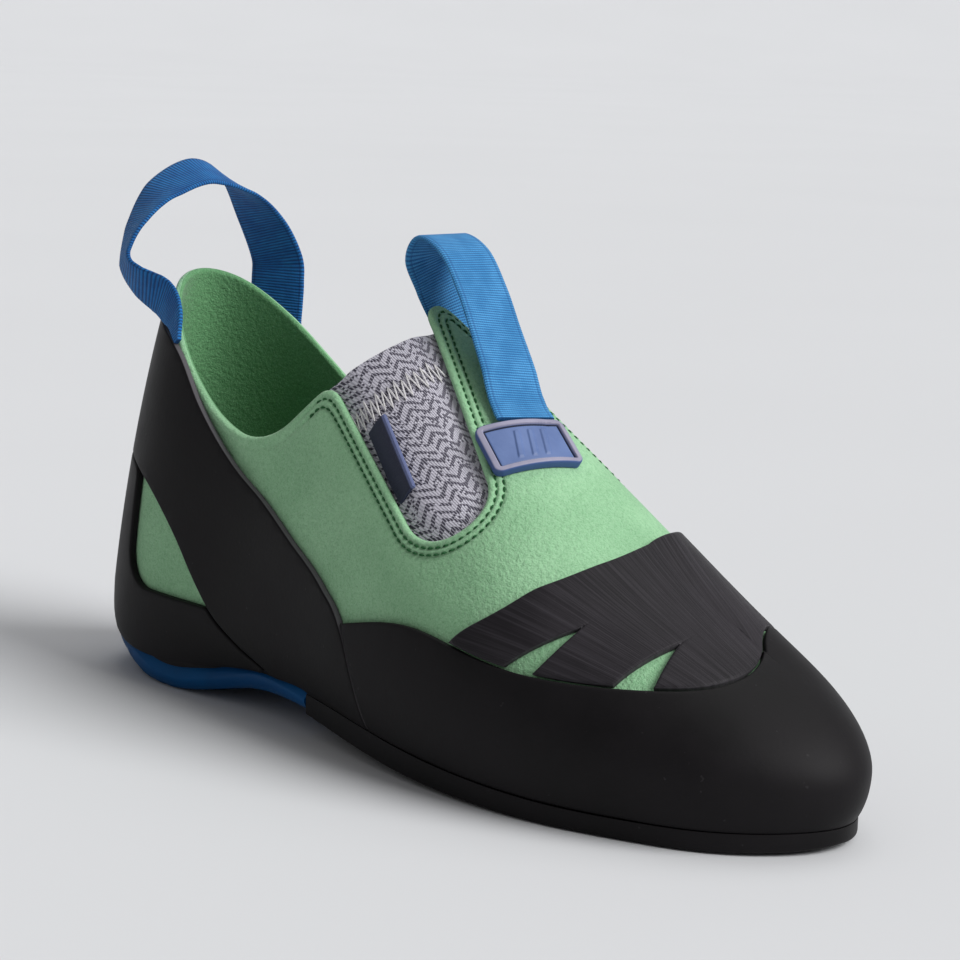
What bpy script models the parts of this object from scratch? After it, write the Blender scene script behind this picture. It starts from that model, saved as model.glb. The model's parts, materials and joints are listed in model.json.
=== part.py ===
"""Climbing slipper for the right foot, built as a shoemaker builds it.

One function makes the surface of the last, which is the outside of the suede upper. Every
rubber, suede and knitted piece is a sheet of that surface, trimmed along its own edges and
given a thickness along the surface's normals. Metres, +X to the toe, +Y to the big-toe
side, +Z up, the floor at Z = 0.
"""

import math

import bpy
import numpy as np
from mathutils import Vector
from mathutils.bvhtree import BVHTree

# Driving sizes of the last
LENGTH = 0.248
BALL_WIDTH = 0.080
INSTEP_HEIGHT = 0.100
COLLAR_HEIGHT = 0.110

# Thicknesses and clearances
WALL = 0.0020
GAP = 0.0003
RUBBER = 0.0018
KNIT = 0.0012
WEBBING = 0.0012
OUTSOLE = 0.0044
HEEL_PAD = 0.0088
ARCH_PAD = 0.0030
INSOLE = 0.0015
BADGE = 0.0022
LABEL = 0.0010
SEAM_GAP = 0.0005
INSOLE_INSET = 0.0032
RUBBER_CLEAR = 0.0017
SNAP = 0.00008
FINE_BAND = 0.0020

# Where the origin lies, from the back of the heel
ORIGIN_X = 0.12442
ORIGIN_Y = 0.00067

# Mesh density
ROWS_PER_SECTION = 3
BOTTOM_STEPS = 2
LOWER_STEPS = 3
UPPER_STEPS = 10
FEATHER_ANGLE = math.radians(30)

# The last stands on its sole with the heel raised, turned about a line under the toes
PITCH = math.radians(1.15)
PIVOT_X = 0.210

# The last, section by section from heel to toe. ring_x is a share of LENGTH, lateral and
# medial are the widest half widths and crown_y the crown's shift as shares of BALL_WIDTH,
# tuck is how far the feather edge lies inside the widest line as a share of BALL_WIDTH,
# and the heights are shares of INSTEP_HEIGHT above the outsole. lean is the slope of the
# wall, ridge how much the top follows the crown's slope instead of lying level.
SECTION_COLUMNS = (
    "name ring_x lateral medial tuck feather_z wide_z crown_x crown_y crown_z"
    " lean ridge spine_x spine_z"
).split()
SECTIONS = (
    ("heel back", 0.000, 0.00, 0.00, 0.118, 0.030, 0.150, 0.115, 0.00, 1.45, 0.09, 0.0, 0.080, 0.022),
    ("heel corner", 0.026, -0.24, 0.23, 0.112, 0.028, 0.155, 0.132, 0.00, 1.43, 0.09, 0.0, 0.095, 0.020),
    ("heel side", 0.106, -0.375, 0.36, 0.088, 0.022, 0.175, 0.185, 0.00, 1.38, 0.05, 0.0, 0.140, 0.018),
    ("heel front", 0.203, -0.388, 0.375, 0.070, 0.025, 0.210, 0.270, 0.00, 1.31, 0.02, 0.0, 0.215, 0.020),
    ("waist back", 0.300, -0.380, 0.350, 0.060, 0.045, 0.215, 0.335, 0.00, 1.22, 0.00, 0.0, 0.305, 0.038),
    ("waist", 0.400, -0.410, 0.350, 0.055, 0.052, 0.215, 0.410, 0.01, 1.095, 0.00, 0.0, 0.400, 0.046),
    ("instep", 0.497, -0.455, 0.400, 0.050, 0.040, 0.200, 0.492, 0.03, 0.955, 0.00, 0.0, 0.492, 0.036),
    ("ball back", 0.593, -0.485, 0.460, 0.045, 0.022, 0.180, 0.578, 0.05, 0.805, 0.00, 0.0, 0.585, 0.018),
    ("ball", 0.689, -0.482, 0.500, 0.040, 0.010, 0.160, 0.665, 0.07, 0.650, 0.00, 0.0, 0.675, 0.008),
    ("ball front", 0.781, -0.438, 0.495, 0.036, 0.006, 0.140, 0.745, 0.10, 0.508, 0.00, 0.05, 0.760, 0.006),
    ("toes", 0.866, -0.350, 0.430, 0.036, 0.008, 0.128, 0.810, 0.12, 0.413, 0.00, 0.12, 0.835, 0.008),
    ("toe corner", 0.946, -0.215, 0.320, 0.036, 0.014, 0.120, 0.858, 0.14, 0.350, 0.00, 0.25, 0.890, 0.013),
    ("toe tip", 1.000, 0.070, 0.070, 0.036, 0.020, 0.115, 0.880, 0.14, 0.325, 0.00, 0.40, 0.915, 0.016),
)

# The collar line seen from the side: shares of LENGTH and of COLLAR_HEIGHT
COLLAR = (
    (-0.040, 1.010),
    (0.030, 1.000),
    (0.070, 0.960),
    (0.120, 0.870),
    (0.175, 0.765),
    (0.235, 0.675),
    (0.285, 0.645),
    (0.340, 0.690),
    (0.380, 0.775),
    (0.415, 0.850),
    (0.440, 0.985),
    (0.462, 1.200),
)

# The two slots beside the tongue tab: the ends of each slot's middle line, as shares of
# LENGTH, BALL_WIDTH and COLLAR_HEIGHT, with the slot's half width at each end
SLOT_TOP = (0.426, 0.198, 0.886)
SLOT_FOOT = (0.578, 0.320, 0.600)
SLOT_TOP_HALF = 0.0149
SLOT_FOOT_HALF = 0.0115
SLOT_SHIFT = 0.0020
SLOT_END = 1.08
TONGUE_LAP = 0.0060
TONGUE_FOOT = 0.50
TONGUE_TOP = ((0.375, 0.775), (0.470, 0.960))

# Heights of the rubber's upper edges, as shares of INSTEP_HEIGHT above the outsole
RAND_COLUMNS = "name lateral medial".split()
RAND_EDGE = (
    ("heel back", 0.30, 0.30),
    ("heel corner", 0.30, 0.30),
    ("heel side", 0.30, 0.30),
    ("heel front", 0.30, 0.30),
    ("waist back", 0.28, 0.28),
    ("waist", 0.25, 0.25),
    ("instep", 0.29, 0.28),
    ("ball back", 0.335, 0.31),
    ("ball", 0.305, 0.30),
    ("ball front", 0.288, 0.29),
    ("toes", 0.290, 0.29),
    ("toe corner", 0.315, 0.32),
    ("toe tip", 0.375, 0.375),
)

# Where the rand ends over the toes, seen from above: shares of BALL_WIDTH and of LENGTH
CAP_REAR = (
    (-0.60, 0.955),
    (-0.20, 0.958),
    (-0.05, 0.950),
    (0.06, 0.917),
    (0.15, 0.870),
    (0.25, 0.842),
    (0.40, 0.818),
    (0.60, 0.795),
)

# Rear edge of the toe patch: shares of BALL_WIDTH across and of LENGTH along
PATCH_REAR = (
    (-0.60, 0.590),
    (-0.50, 0.628),
    (-0.42, 0.683),
    (-0.30, 0.716),
    (-0.11, 0.735),
    (0.11, 0.728),
    (0.30, 0.706),
    (0.42, 0.672),
    (0.50, 0.628),
    (0.60, 0.590),
)

# Leaf slits of the toe patch from the side, open at the rand: the two ends of the foot and
# the tip, shares of LENGTH and of INSTEP_HEIGHT
SLITS = (
    ((0.704, 0.300), (0.738, 0.295), (0.768, 0.440)),
    ((0.815, 0.270), (0.858, 0.275), (0.836, 0.412)),
)
SLIT_BULGE = 0.0008
SLIT_REACH = 0.0040

# Front edge of the slingshot strap from the side, shares of LENGTH and of COLLAR_HEIGHT,
# and its rear edge, shares of LENGTH and of INSTEP_HEIGHT
STRAP_FRONT = (
    (-0.040, 0.895),
    (0.040, 0.886),
    (0.100, 0.855),
    (0.160, 0.791),
    (0.206, 0.691),
    (0.278, 0.568),
    (0.331, 0.509),
    (0.383, 0.445),
    (0.452, 0.364),
    (0.488, 0.300),
    (0.508, 0.227),
    (0.530, 0.091),
    (0.545, -0.091),
)
STRAP_REAR = (
    (-0.040, 0.570),
    (0.040, 0.570),
    (0.090, 0.552),
    (0.137, 0.500),
    (0.186, 0.400),
    (0.226, 0.285),
    (0.250, 0.225),
    (0.290, 0.165),
    (0.345, 0.115),
    (0.400, 0.060),
    (0.450, 0.000),
)

# The strap's front edge lies this much lower on the medial side
MEDIAL_DROP = 0.007

# The heel window: left and lower edges and their corner radius
WINDOW_LEFT = 0.1015
WINDOW_FOOT = 0.233
WINDOW_RADIUS = 0.0105

# Upper edge of the heel sole from the side: shares of LENGTH and of INSTEP_HEIGHT
HEEL_SOLE_TOP = (
    (-0.040, 0.124),
    (0.010, 0.118),
    (0.050, 0.099),
    (0.110, 0.080),
    (0.180, 0.074),
    (0.235, 0.083),
    (0.280, 0.096),
    (0.320, 0.106),
    (0.370, 0.108),
    (0.430, 0.104),
)
ARCH_JOINT = 0.412

# The heel sole thins to the arch between these two places, shares of LENGTH. The rubber above
# it lies flush with it and is back to its own thickness at the second place of STRAP_FADE
PAD_FADE = (0.150, 0.340)
STRAP_FADE = (0.340, 0.405)

# Outsole under the forefoot: height of its tread above the floor, section by section
TREAD_LIFT = (
    ("waist", 0.062),
    ("instep", 0.036),
    ("ball back", 0.014),
    ("ball", 0.003),
    ("ball front", 0.000),
    ("toes", 0.000),
    ("toe corner", 0.004),
    ("toe tip", 0.014),
)
SOLE_OVERHANG = 0.0026
SOLE_BEVEL = 0.0009

# Middle lines of the two pull loops: place, direction across the webbing, share of its
# width, and how far it lies on the upper there. The heel loop's places are shares of LENGTH,
# BALL_WIDTH and COLLAR_HEIGHT. The front loop's are metres from where it leaves the badge.
HEEL_LOOP = (
    ((0.139, -0.342, 0.833), (0.55, -0.10, 0.80), 0.12, 1.0),
    ((0.117, -0.325, 0.888), (0.60, -0.20, 0.75), 0.50, 1.0),
    ((0.087, -0.316, 0.930), (0.70, -0.35, 0.60), 0.80, 0.7),
    ((0.063, -0.330, 0.962), (0.78, -0.44, 0.40), 0.94, 0.2),
    ((0.050, -0.322, 1.010), (0.84, -0.50, 0.10), 1.00, 0.0),
    ((0.046, -0.269, 1.091), (0.84, -0.50, -0.15), 1.00, 0.0),
    ((0.046, -0.156, 1.177), (0.85, -0.42, -0.32), 1.00, 0.0),
    ((0.052, 0.000, 1.223), (0.85, -0.30, -0.30), 1.00, 0.0),
    ((0.058, 0.138, 1.182), (0.88, 0.00, -0.20), 1.00, 0.0),
    ((0.064, 0.240, 1.091), (0.90, 0.25, 0.00), 1.00, 0.0),
    ((0.070, 0.298, 1.000), (0.90, 0.38, 0.00), 1.00, 0.0),
    ((0.071, 0.304, 0.940), (0.89, 0.42, 0.00), 1.00, 0.0),
    ((0.071, 0.300, 0.880), (0.88, 0.45, 0.00), 1.00, 0.0),
    ((0.073, 0.290, 0.820), (0.87, 0.47, 0.00), 1.00, 0.0),
    ((0.080, 0.282, 0.760), (0.85, 0.53, 0.00), 1.00, 0.0),
)
FRONT_LOOP = (
    ((0.0000, 0.0000, 0.0000), (0.14, 0.98, -0.08), 1.00, 1.0),
    ((-0.0085, 0.0025, 0.0112), (0.05, 1.00, 0.00), 1.00, 0.0),
    ((-0.0165, 0.0045, 0.0212), (0.00, 1.00, 0.00), 1.00, 0.0),
    ((-0.0235, 0.0060, 0.0302), (0.00, 1.00, 0.00), 1.00, 0.0),
    ((-0.0310, 0.0065, 0.0387), (0.00, 1.00, 0.00), 1.00, 0.0),
    ((-0.0396, 0.0065, 0.0418), (0.00, 1.00, 0.00), 1.00, 0.0),
    ((-0.0434, 0.0063, 0.0366), (0.00, 1.00, 0.00), 1.00, 0.0),
    ((-0.0420, 0.0086, 0.0290), (0.05, 1.00, 0.00), 0.94, 0.0),
    ((-0.0400, 0.0106, 0.0222), (0.10, 1.00, 0.00), 0.84, 0.0),
    ((-0.0382, 0.0112, 0.0172), (0.10, 1.00, 0.00), 0.74, 0.0),
)
HEEL_LOOP_WIDTH = 0.0165
FRONT_LOOP_WIDTH = 0.0170
FRONT_LOOP_SHIFT = 0.0021
LOOP_CLEAR = 0.0008
REST_SHARE = 0.05

# The badge on the instep and the label on the knit: middle, as shares of LENGTH,
# BALL_WIDTH and COLLAR_HEIGHT, half sizes and corner radius
BADGE_CENTRE = (0.612, -0.045, 0.7295)
BADGE_HALF = (0.0075, 0.0118)
BADGE_RADIUS = 0.0020
BADGE_TURN = math.radians(10)
BADGE_SLOPE = math.radians(35)
LABEL_ENDS = ((0.470, 0.739), (0.539, 0.606))
LABEL_HALF = 0.0032


def column(table, names, name):
    """One named column of a table as an array."""
    index = names.index(name)
    return np.array([row[index] for row in table], float)


def periodic_spline(values, at):
    """A smooth closed curve through evenly spaced values, read at the points `at`."""
    count = len(values)
    matrix = np.zeros((count, count))
    right = np.zeros(count)
    for i in range(count):
        matrix[i, i] = 4.0
        matrix[i, (i - 1) % count] = 1.0
        matrix[i, (i + 1) % count] = 1.0
        right[i] = 6.0 * (values[(i + 1) % count] - 2.0 * values[i] + values[i - 1])
    bend = np.linalg.solve(matrix, right)
    low = np.floor(at).astype(int) % count
    high = (low + 1) % count
    b = at - np.floor(at)
    a = 1.0 - b
    return (
        a * values[low]
        + b * values[high]
        + ((a**3 - a) * bend[low] + (b**3 - b) * bend[high]) / 6.0
    )


def curve_through(points, at):
    """Height of a smooth open curve through (x, z) points at x = at."""
    x, z = np.array(points, float).T
    slope = np.gradient(z, x)
    at = min(max(at, x[0]), x[-1])
    i = min(max(int(np.searchsorted(x, at)) - 1, 0), len(x) - 2)
    h = x[i + 1] - x[i]
    t = (at - x[i]) / h
    return float(
        (2 * t**3 - 3 * t**2 + 1) * z[i]
        + (t**3 - 2 * t**2 + t) * h * slope[i]
        + (3 * t**2 - 2 * t**3) * z[i + 1]
        + (t**3 - t**2) * h * slope[i + 1]
    )


def room_below(points, height, x, z):
    """How far (x, z) lies below a curve given in shares of LENGTH and of `height`."""
    share = x / LENGTH
    low = curve_through(points, share - 0.002) * height
    high = curve_through(points, share + 0.002) * height
    slope = (high - low) / (0.004 * LENGTH)
    return ((low + high) / 2 - z) / math.hypot(1.0, slope)


def both_sides(values):
    """A column's values read around the shoe: heel, lateral side, toe, medial side."""
    return np.concatenate([values, values[-2:0:-1]])


def around_rows(at):
    """The sections' columns at places around the shoe."""
    found = {}
    for name in SECTION_COLUMNS[1:]:
        if name in ("lateral", "medial"):
            continue
        found[name] = periodic_spline(both_sides(column(SECTIONS, SECTION_COLUMNS, name)), at)
    lateral = column(SECTIONS, SECTION_COLUMNS, "lateral")
    medial = column(SECTIONS, SECTION_COLUMNS, "medial")
    found["ring_y"] = periodic_spline(np.concatenate([lateral, medial[-2:0:-1]]), at)
    found["spine_y"] = periodic_spline(both_sides((lateral + medial) / 2), at)
    lateral = column(RAND_EDGE, RAND_COLUMNS, "lateral")
    medial = column(RAND_EDGE, RAND_COLUMNS, "medial")
    found["rand"] = periodic_spline(np.concatenate([lateral, medial[-2:0:-1]]), at)
    return found


class Sheet:
    """Points with normals, faces and named measures: an open piece of the last's surface."""

    def __init__(self, points, normals, faces, measures):
        self.points = points
        self.normals = normals
        self.faces = faces
        self.measures = measures

    def trimmed(self, keep):
        """Cut along keep = 0, leaving the side where keep is above 0."""
        return self.cut([float(keep(p)) for p in self.points])

    def cut(self, value):
        """Cut along value = 0, one value to a point, leaving the side above 0."""
        value = [0.0 if abs(v) < SNAP else v for v in value]
        points, normals = list(self.points), list(self.normals)
        measures = {name: list(values) for name, values in self.measures.items()}
        made = {}

        def crossing(a, b):
            low, high = min(a, b), max(a, b)
            if (low, high) not in made:
                share = value[low] / (value[low] - value[high])
                points.append(points[low].lerp(points[high], share))
                normals.append(normals[low].lerp(normals[high], share).normalized())
                for values in measures.values():
                    values.append(values[low] + (values[high] - values[low]) * share)
                made[low, high] = len(points) - 1
            return made[low, high]

        faces = []
        for face in self.faces:
            left = []
            for a, b in zip(face, face[1:] + face[:1]):
                if value[a] >= 0.0:
                    left.append(a)
                if value[a] * value[b] < 0.0:
                    left.append(crossing(a, b))
            inside = any(value[v] > 0.0 for v in face)
            if len(left) > 2 and inside:
                faces.append(left)
        used = sorted({v for face in faces for v in face})
        new = {v: i for i, v in enumerate(used)}
        return Sheet(
            [points[v] for v in used],
            [normals[v] for v in used],
            [[new[v] for v in face] for face in faces],
            {name: [values[v] for v in used] for name, values in measures.items()},
        )

    def refined(self, near):
        """Split each face that has a point where near is above 0 into smaller ones."""
        flagged = [near(p) > 0.0 for p in self.points]
        points, normals = list(self.points), list(self.normals)
        measures = {name: list(values) for name, values in self.measures.items()}
        made = {}

        def mean(corners):
            share = 1.0 / len(corners)
            points.append(sum((points[v] for v in corners), Vector()) * share)
            normals.append(sum((normals[v] for v in corners), Vector()).normalized())
            for values in measures.values():
                values.append(sum(values[v] for v in corners) * share)
            return len(points) - 1

        split = [face for face in self.faces if any(flagged[v] for v in face)]
        for face in split:
            for a, b in zip(face, face[1:] + face[:1]):
                if (min(a, b), max(a, b)) not in made:
                    made[min(a, b), max(a, b)] = mean([a, b])
        faces = []
        for face in self.faces:
            sides = [(min(a, b), max(a, b)) for a, b in zip(face, face[1:] + face[:1])]
            if any(flagged[v] for v in face):
                centre = mean(face)
                for i, corner in enumerate(face):
                    faces.append([corner, made[sides[i]], centre, made[sides[i - 1]]])
                continue
            ring = []
            for corner, side in zip(face, sides):
                ring.append(corner)
                if side in made:
                    ring.append(made[side])
            faces.append(ring)
        return Sheet(points, normals, faces, measures)


def raised(point):
    """A place on the last after it is turned to stand on its sole."""
    x, z = point.x - PIVOT_X, point.z
    turn_sin, turn_cos = math.sin(PITCH), math.cos(PITCH)
    return Vector((PIVOT_X + x * turn_cos + z * turn_sin, point.y, z * turn_cos - x * turn_sin))


def last_profile(row):
    """Points up one side of the last at one place around it: spine, feather edge, crown."""
    ring = Vector((row["ring_x"] * LENGTH, row["ring_y"] * BALL_WIDTH, 0.0))
    crown = Vector((row["crown_x"] * LENGTH, row["crown_y"] * BALL_WIDTH, 0.0))
    spine = Vector((row["spine_x"] * LENGTH, row["spine_y"] * BALL_WIDTH, 0.0))
    inward = crown - ring
    unit = (spine - ring).normalized()
    feather_z, wide_z, crown_z, spine_z = (
        OUTSOLE + row[name] * INSTEP_HEIGHT
        for name in ("feather_z", "wide_z", "crown_z", "spine_z")
    )
    tuck = row["tuck"] * BALL_WIDTH
    lean = row["lean"]
    feather = ring + unit * (tuck - lean * (wide_z - feather_z))
    points = []
    for step in range(BOTTOM_STEPS):
        share = step / BOTTOM_STEPS
        level = spine_z + (feather_z - spine_z) * share**3
        points.append(spine.lerp(feather, share) + Vector((0, 0, level)))
    low_sin, low_cos = math.sin(FEATHER_ANGLE), math.cos(FEATHER_ANGLE)
    for step in range(LOWER_STEPS):
        angle = FEATHER_ANGLE + (math.pi / 2 - FEATHER_ANGLE) * step / LOWER_STEPS
        level = wide_z + (feather_z - wide_z) * math.cos(angle) / low_cos
        tucked = tuck * (1.0 - math.sin(angle)) / (1.0 - low_sin)
        flat = ring + unit * (tucked + lean * (level - wide_z))
        points.append(flat + Vector((0, 0, level)))
    for step in range(UPPER_STEPS + 1):
        angle = math.pi / 2 * step / UPPER_STEPS
        across = 1.0 - math.cos(angle)
        rise = (1.0 - row["ridge"]) * math.sin(angle) + row["ridge"] * across
        level = wide_z + (crown_z - wide_z) * rise
        slope = lean * (level - wide_z) * math.cos(angle)
        points.append(ring + inward * across + unit * slope + Vector((0, 0, level)))
    return points


def surface_normals(points, faces):
    """Area-weighted vertex normals."""
    normals = [Vector((0, 0, 0)) for _ in points]
    for face in faces:
        a, b, c, d = (points[v] for v in (face + face[-1:])[:4])
        weight = (c - a).cross(d - b)
        for v in face:
            normals[v] += weight
    return [n.normalized() for n in normals]


def last_surface(rows_per_section=ROWS_PER_SECTION):
    """The outside of the upper before anything is cut, closed underneath and on top."""
    side = (len(SECTIONS) - 1) * rows_per_section
    around = 2 * side
    at = np.arange(around) / rows_per_section
    rows = around_rows(at)
    index, points = {}, []
    lift, rand = [], []
    for k in range(around):
        row = {name: float(rows[name][k]) for name in rows}
        profile = last_profile(row)
        up = len(profile)
        twin = (around - k) % around
        for j, point in enumerate(profile):
            if j in (0, up - 1) and twin < k:
                index[k, j] = index[twin, j]
                continue
            index[k, j] = len(points)
            points.append(point)
            away = (profile[BOTTOM_STEPS] - point).length
            lift.append(away if j >= BOTTOM_STEPS else -away)
            rand.append(OUTSOLE + row["rand"] * INSTEP_HEIGHT - point.z)
    faces = []
    for k in range(around):
        n = (k + 1) % around
        for j in range(up - 1):
            corners = [index[k, j], index[n, j], index[n, j + 1], index[k, j + 1]]
            face = list(dict.fromkeys(corners))
            if len(face) > 2:
                faces.append(face)
    measures = {"lift": lift, "rand": rand}
    return Sheet(points, surface_normals(points, faces), faces, measures)


# Measures that the trims share


def collar_room(point):
    """How far a point lies below the collar line."""
    return room_below(COLLAR, COLLAR_HEIGHT, point.x, point.z)


def slot_ends(side):
    """The ends of a slot's middle line: side is -1 on the lateral side, 1 on the medial."""
    return [
        Vector((x * LENGTH, side * y * BALL_WIDTH + SLOT_SHIFT, z * COLLAR_HEIGHT))
        for x, y, z in (SLOT_TOP, SLOT_FOOT)
    ]


def slot_place(point, side):
    """A slot's middle line seen from a point: share along it, distance from it, offset in y."""
    top, foot = slot_ends(side)
    line = foot - top
    share = (point - top).dot(line) / line.length_squared
    nearest = top + line * min(share, 1.0)
    return share, (point - nearest).length, side * (point.y - nearest.y)


def slot_room(point, side):
    """How far a point lies outside the slot on one side of the tab: -1 lateral, 1 medial."""
    share, distance, _ = slot_place(point, side)
    half = SLOT_TOP_HALF + (SLOT_FOOT_HALF - SLOT_TOP_HALF) * min(max(share, 0.0), 1.0)
    return distance - half


def tongue_room(point):
    """How far a point lies inside the knitted tongue's outline under the quarters."""
    found = [TONGUE_LAP - slot_room(point, side) for side in (-1, 1)]
    near_side = -1 if point.y < SLOT_SHIFT else 1
    share, _, offset = slot_place(point, near_side)
    if offset < 0.0:
        top, foot = slot_ends(near_side)
        reach = (foot - top).length
        found.append(min((SLOT_END - share) * reach, point.z - TONGUE_FOOT * COLLAR_HEIGHT))
    return max(found)


def tongue_top_room(point):
    """How far a point lies below the tongue's top edge."""
    (x0, z0), (x1, z1) = TONGUE_TOP
    x0, x1, z0, z1 = x0 * LENGTH, x1 * LENGTH, z0 * COLLAR_HEIGHT, z1 * COLLAR_HEIGHT
    slope = (z1 - z0) / (x1 - x0)
    return (z0 + slope * (point.x - x0) - point.z) / math.hypot(1.0, slope)


def strap_front_room(point):
    """How far a point lies behind and below the strap's front edge."""
    medial = min(max(point.y / (0.2 * BALL_WIDTH), 0.0), 1.0)
    return room_below(STRAP_FRONT, COLLAR_HEIGHT, point.x, point.z) - MEDIAL_DROP * medial


def strap_rear_room(point):
    """How far a point lies above the strap's rear edge."""
    return -room_below(STRAP_REAR, INSTEP_HEIGHT, point.x, point.z)


def window_depth(point):
    """How far a point lies inside the corner formed by the window's left and lower edges."""
    along = point.x - WINDOW_LEFT * LENGTH
    up = point.z - WINDOW_FOOT * INSTEP_HEIGHT
    radius = WINDOW_RADIUS
    if along < radius and up < radius:
        return radius - math.hypot(radius - along, radius - up)
    return min(along, up)


def heel_sole_room(point):
    """How far a point lies below the upper edge of the heel sole."""
    return room_below(HEEL_SOLE_TOP, INSTEP_HEIGHT, point.x, point.z)


def patch_rear_room(point):
    """How far a point lies ahead of the toe patch's rear edge."""
    share = point.y / BALL_WIDTH
    low = curve_through(PATCH_REAR, share - 0.005) * LENGTH
    high = curve_through(PATCH_REAR, share + 0.005) * LENGTH
    slope = (high - low) / (0.01 * BALL_WIDTH)
    return (point.x - (low + high) / 2) / math.hypot(1.0, slope)


def cap_room(point):
    """How far a point lies ahead of the rand's end over the toes."""
    share = point.y / BALL_WIDTH
    low = curve_through(CAP_REAR, share - 0.005) * LENGTH
    high = curve_through(CAP_REAR, share + 0.005) * LENGTH
    slope = (high - low) / (0.01 * BALL_WIDTH)
    return (point.x - (low + high) / 2) / math.hypot(1.0, slope)


def rand_room(sheet):
    """How far each point of a sheet lies inside the rand's upper edge."""
    return [max(v, cap_room(p)) for v, p in zip(sheet.measures["rand"], sheet.points)]


def slit_room(point, slit):
    """How far a point lies outside a leaf slit on the lateral side."""
    if point.y > 0.0:
        return BALL_WIDTH
    corners = [Vector((x * LENGTH, z * INSTEP_HEIGHT)) for x, z in slit]
    flat = Vector((point.x, point.z))
    out = []
    for a, b, bulge in zip(corners, corners[1:] + corners[:1], (0.0, SLIT_BULGE, SLIT_BULGE)):
        line = b - a
        share = min(max((flat - a).dot(line) / line.length_squared, 0.0), 1.0)
        away = (line.y * (flat.x - a.x) - line.x * (flat.y - a.y)) / line.length
        out.append(away - bulge * 4.0 * share * (1.0 - share))
    out[0] -= SLIT_REACH
    return max(out)


def badge_middle():
    x, y, z = BADGE_CENTRE
    return Vector((x * LENGTH, y * BALL_WIDTH, z * COLLAR_HEIGHT))


def badge_axes():
    """Directions down the badge and across it, turned a little on the instep."""
    down = Vector((math.cos(BADGE_SLOPE), 0.0, -math.sin(BADGE_SLOPE)))
    side = Vector((0.0, 1.0, 0.0))
    turn_sin, turn_cos = math.sin(BADGE_TURN), math.cos(BADGE_TURN)
    return down * turn_cos - side * turn_sin, down * turn_sin + side * turn_cos


def badge_depth(point):
    """How far a point lies inside the badge's rounded outline."""
    away = point - badge_middle()
    if away.length > 4.0 * BADGE_HALF[1]:
        return -BADGE_HALF[1]
    along, across = badge_axes()
    out = [
        abs(away.dot(along)) - BADGE_HALF[0] + BADGE_RADIUS,
        abs(away.dot(across)) - BADGE_HALF[1] + BADGE_RADIUS,
    ]
    corner = math.hypot(max(out[0], 0.0), max(out[1], 0.0))
    return BADGE_RADIUS - corner - min(max(out), 0.0)


def label_depth(point):
    """How far a point lies inside the label on the lateral knit."""
    if point.y > 0.0:
        return -LABEL_HALF
    (x0, z0), (x1, z1) = LABEL_ENDS
    top = Vector((x0 * LENGTH, 0.0, z0 * COLLAR_HEIGHT))
    foot = Vector((x1 * LENGTH, 0.0, z1 * COLLAR_HEIGHT))
    line = foot - top
    away = Vector((point.x, 0.0, point.z)) - top
    along = away.dot(line) / line.length
    across = away.x * -line.z / line.length + away.z * line.x / line.length
    return min(along, line.length - along, LABEL_HALF - abs(across))


# Trimmed sheets


def upper_sheet(last):
    kept = last.cut(last.measures["lift"]).trimmed(collar_room)
    for side in (-1, 1):
        kept = kept.trimmed(lambda p: slot_room(p, side))
    return kept


def tongue_sheet(last):
    return last.trimmed(tongue_room).trimmed(tongue_top_room)


def rubber_sheet(last):
    """The part of the last that rubber may cover, clear of the outsole."""
    return last.cut([v - RUBBER_CLEAR for v in last.measures["lift"]])


def strap_sheet(last):
    kept = rubber_sheet(last)
    kept = kept.trimmed(lambda p: strap_front_room(p) - SEAM_GAP / 2)
    kept = kept.trimmed(lambda p: strap_rear_room(p) - SEAM_GAP / 2)
    return kept.trimmed(lambda p: max(-heel_sole_room(p), p.x - ARCH_JOINT * LENGTH) - SEAM_GAP / 2)


def heel_cup_sheet(last):
    kept = rubber_sheet(last)
    kept = kept.trimmed(lambda p: -strap_rear_room(p) - SEAM_GAP / 2)
    kept = kept.refined(lambda p: WINDOW_RADIUS / 2 - abs(window_depth(p)))
    kept = kept.trimmed(lambda p: -window_depth(p))
    return kept.trimmed(lambda p: -heel_sole_room(p) - SEAM_GAP / 2)


def rand_sheet(last):
    kept = rubber_sheet(last)
    kept = kept.trimmed(lambda p: -strap_front_room(p) - SEAM_GAP / 2)
    return kept.cut([v - SEAM_GAP / 2 for v in rand_room(kept)])


def patch_sheet(last):
    kept = last.trimmed(patch_rear_room)
    kept = kept.cut([-v - SEAM_GAP / 2 for v in rand_room(kept)])
    for slit in SLITS:
        for _ in range(2):
            kept = kept.refined(lambda p: FINE_BAND - slit_room(p, slit))
        kept = kept.trimmed(lambda p: slit_room(p, slit))
    return kept


def heel_sole_sheet(last):
    kept = last.trimmed(lambda p: heel_sole_room(p) - SEAM_GAP / 2)
    return kept.trimmed(lambda p: ARCH_JOINT * LENGTH - p.x)


def insole_sheet(last):
    return last.cut([-INSOLE_INSET - v for v in last.measures["lift"]])


def badge_sheet(last):
    near = last
    for _ in range(2):
        near = near.refined(lambda p: badge_depth(p) + 2 * FINE_BAND)
    return near.trimmed(badge_depth)


def label_sheet(last):
    near = last
    for _ in range(2):
        near = near.refined(lambda p: label_depth(p) + 2 * FINE_BAND)
    return near.trimmed(label_depth).trimmed(lambda p: -slot_room(p, -1) - 2 * GAP)


# Solids


def new_object(name, points, faces, material):
    mesh = bpy.data.meshes.new(name)
    origin = Vector((ORIGIN_X, ORIGIN_Y, 0.0))
    mesh.from_pydata([p - origin for p in points], [], faces)
    mesh.validate()
    mesh.materials.append(material)
    obj = bpy.data.objects.new(name, mesh)
    bpy.context.scene.collection.objects.link(obj)
    mesh.shade_smooth()
    mesh.set_sharp_from_angle(angle=math.radians(40))
    return obj


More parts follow.
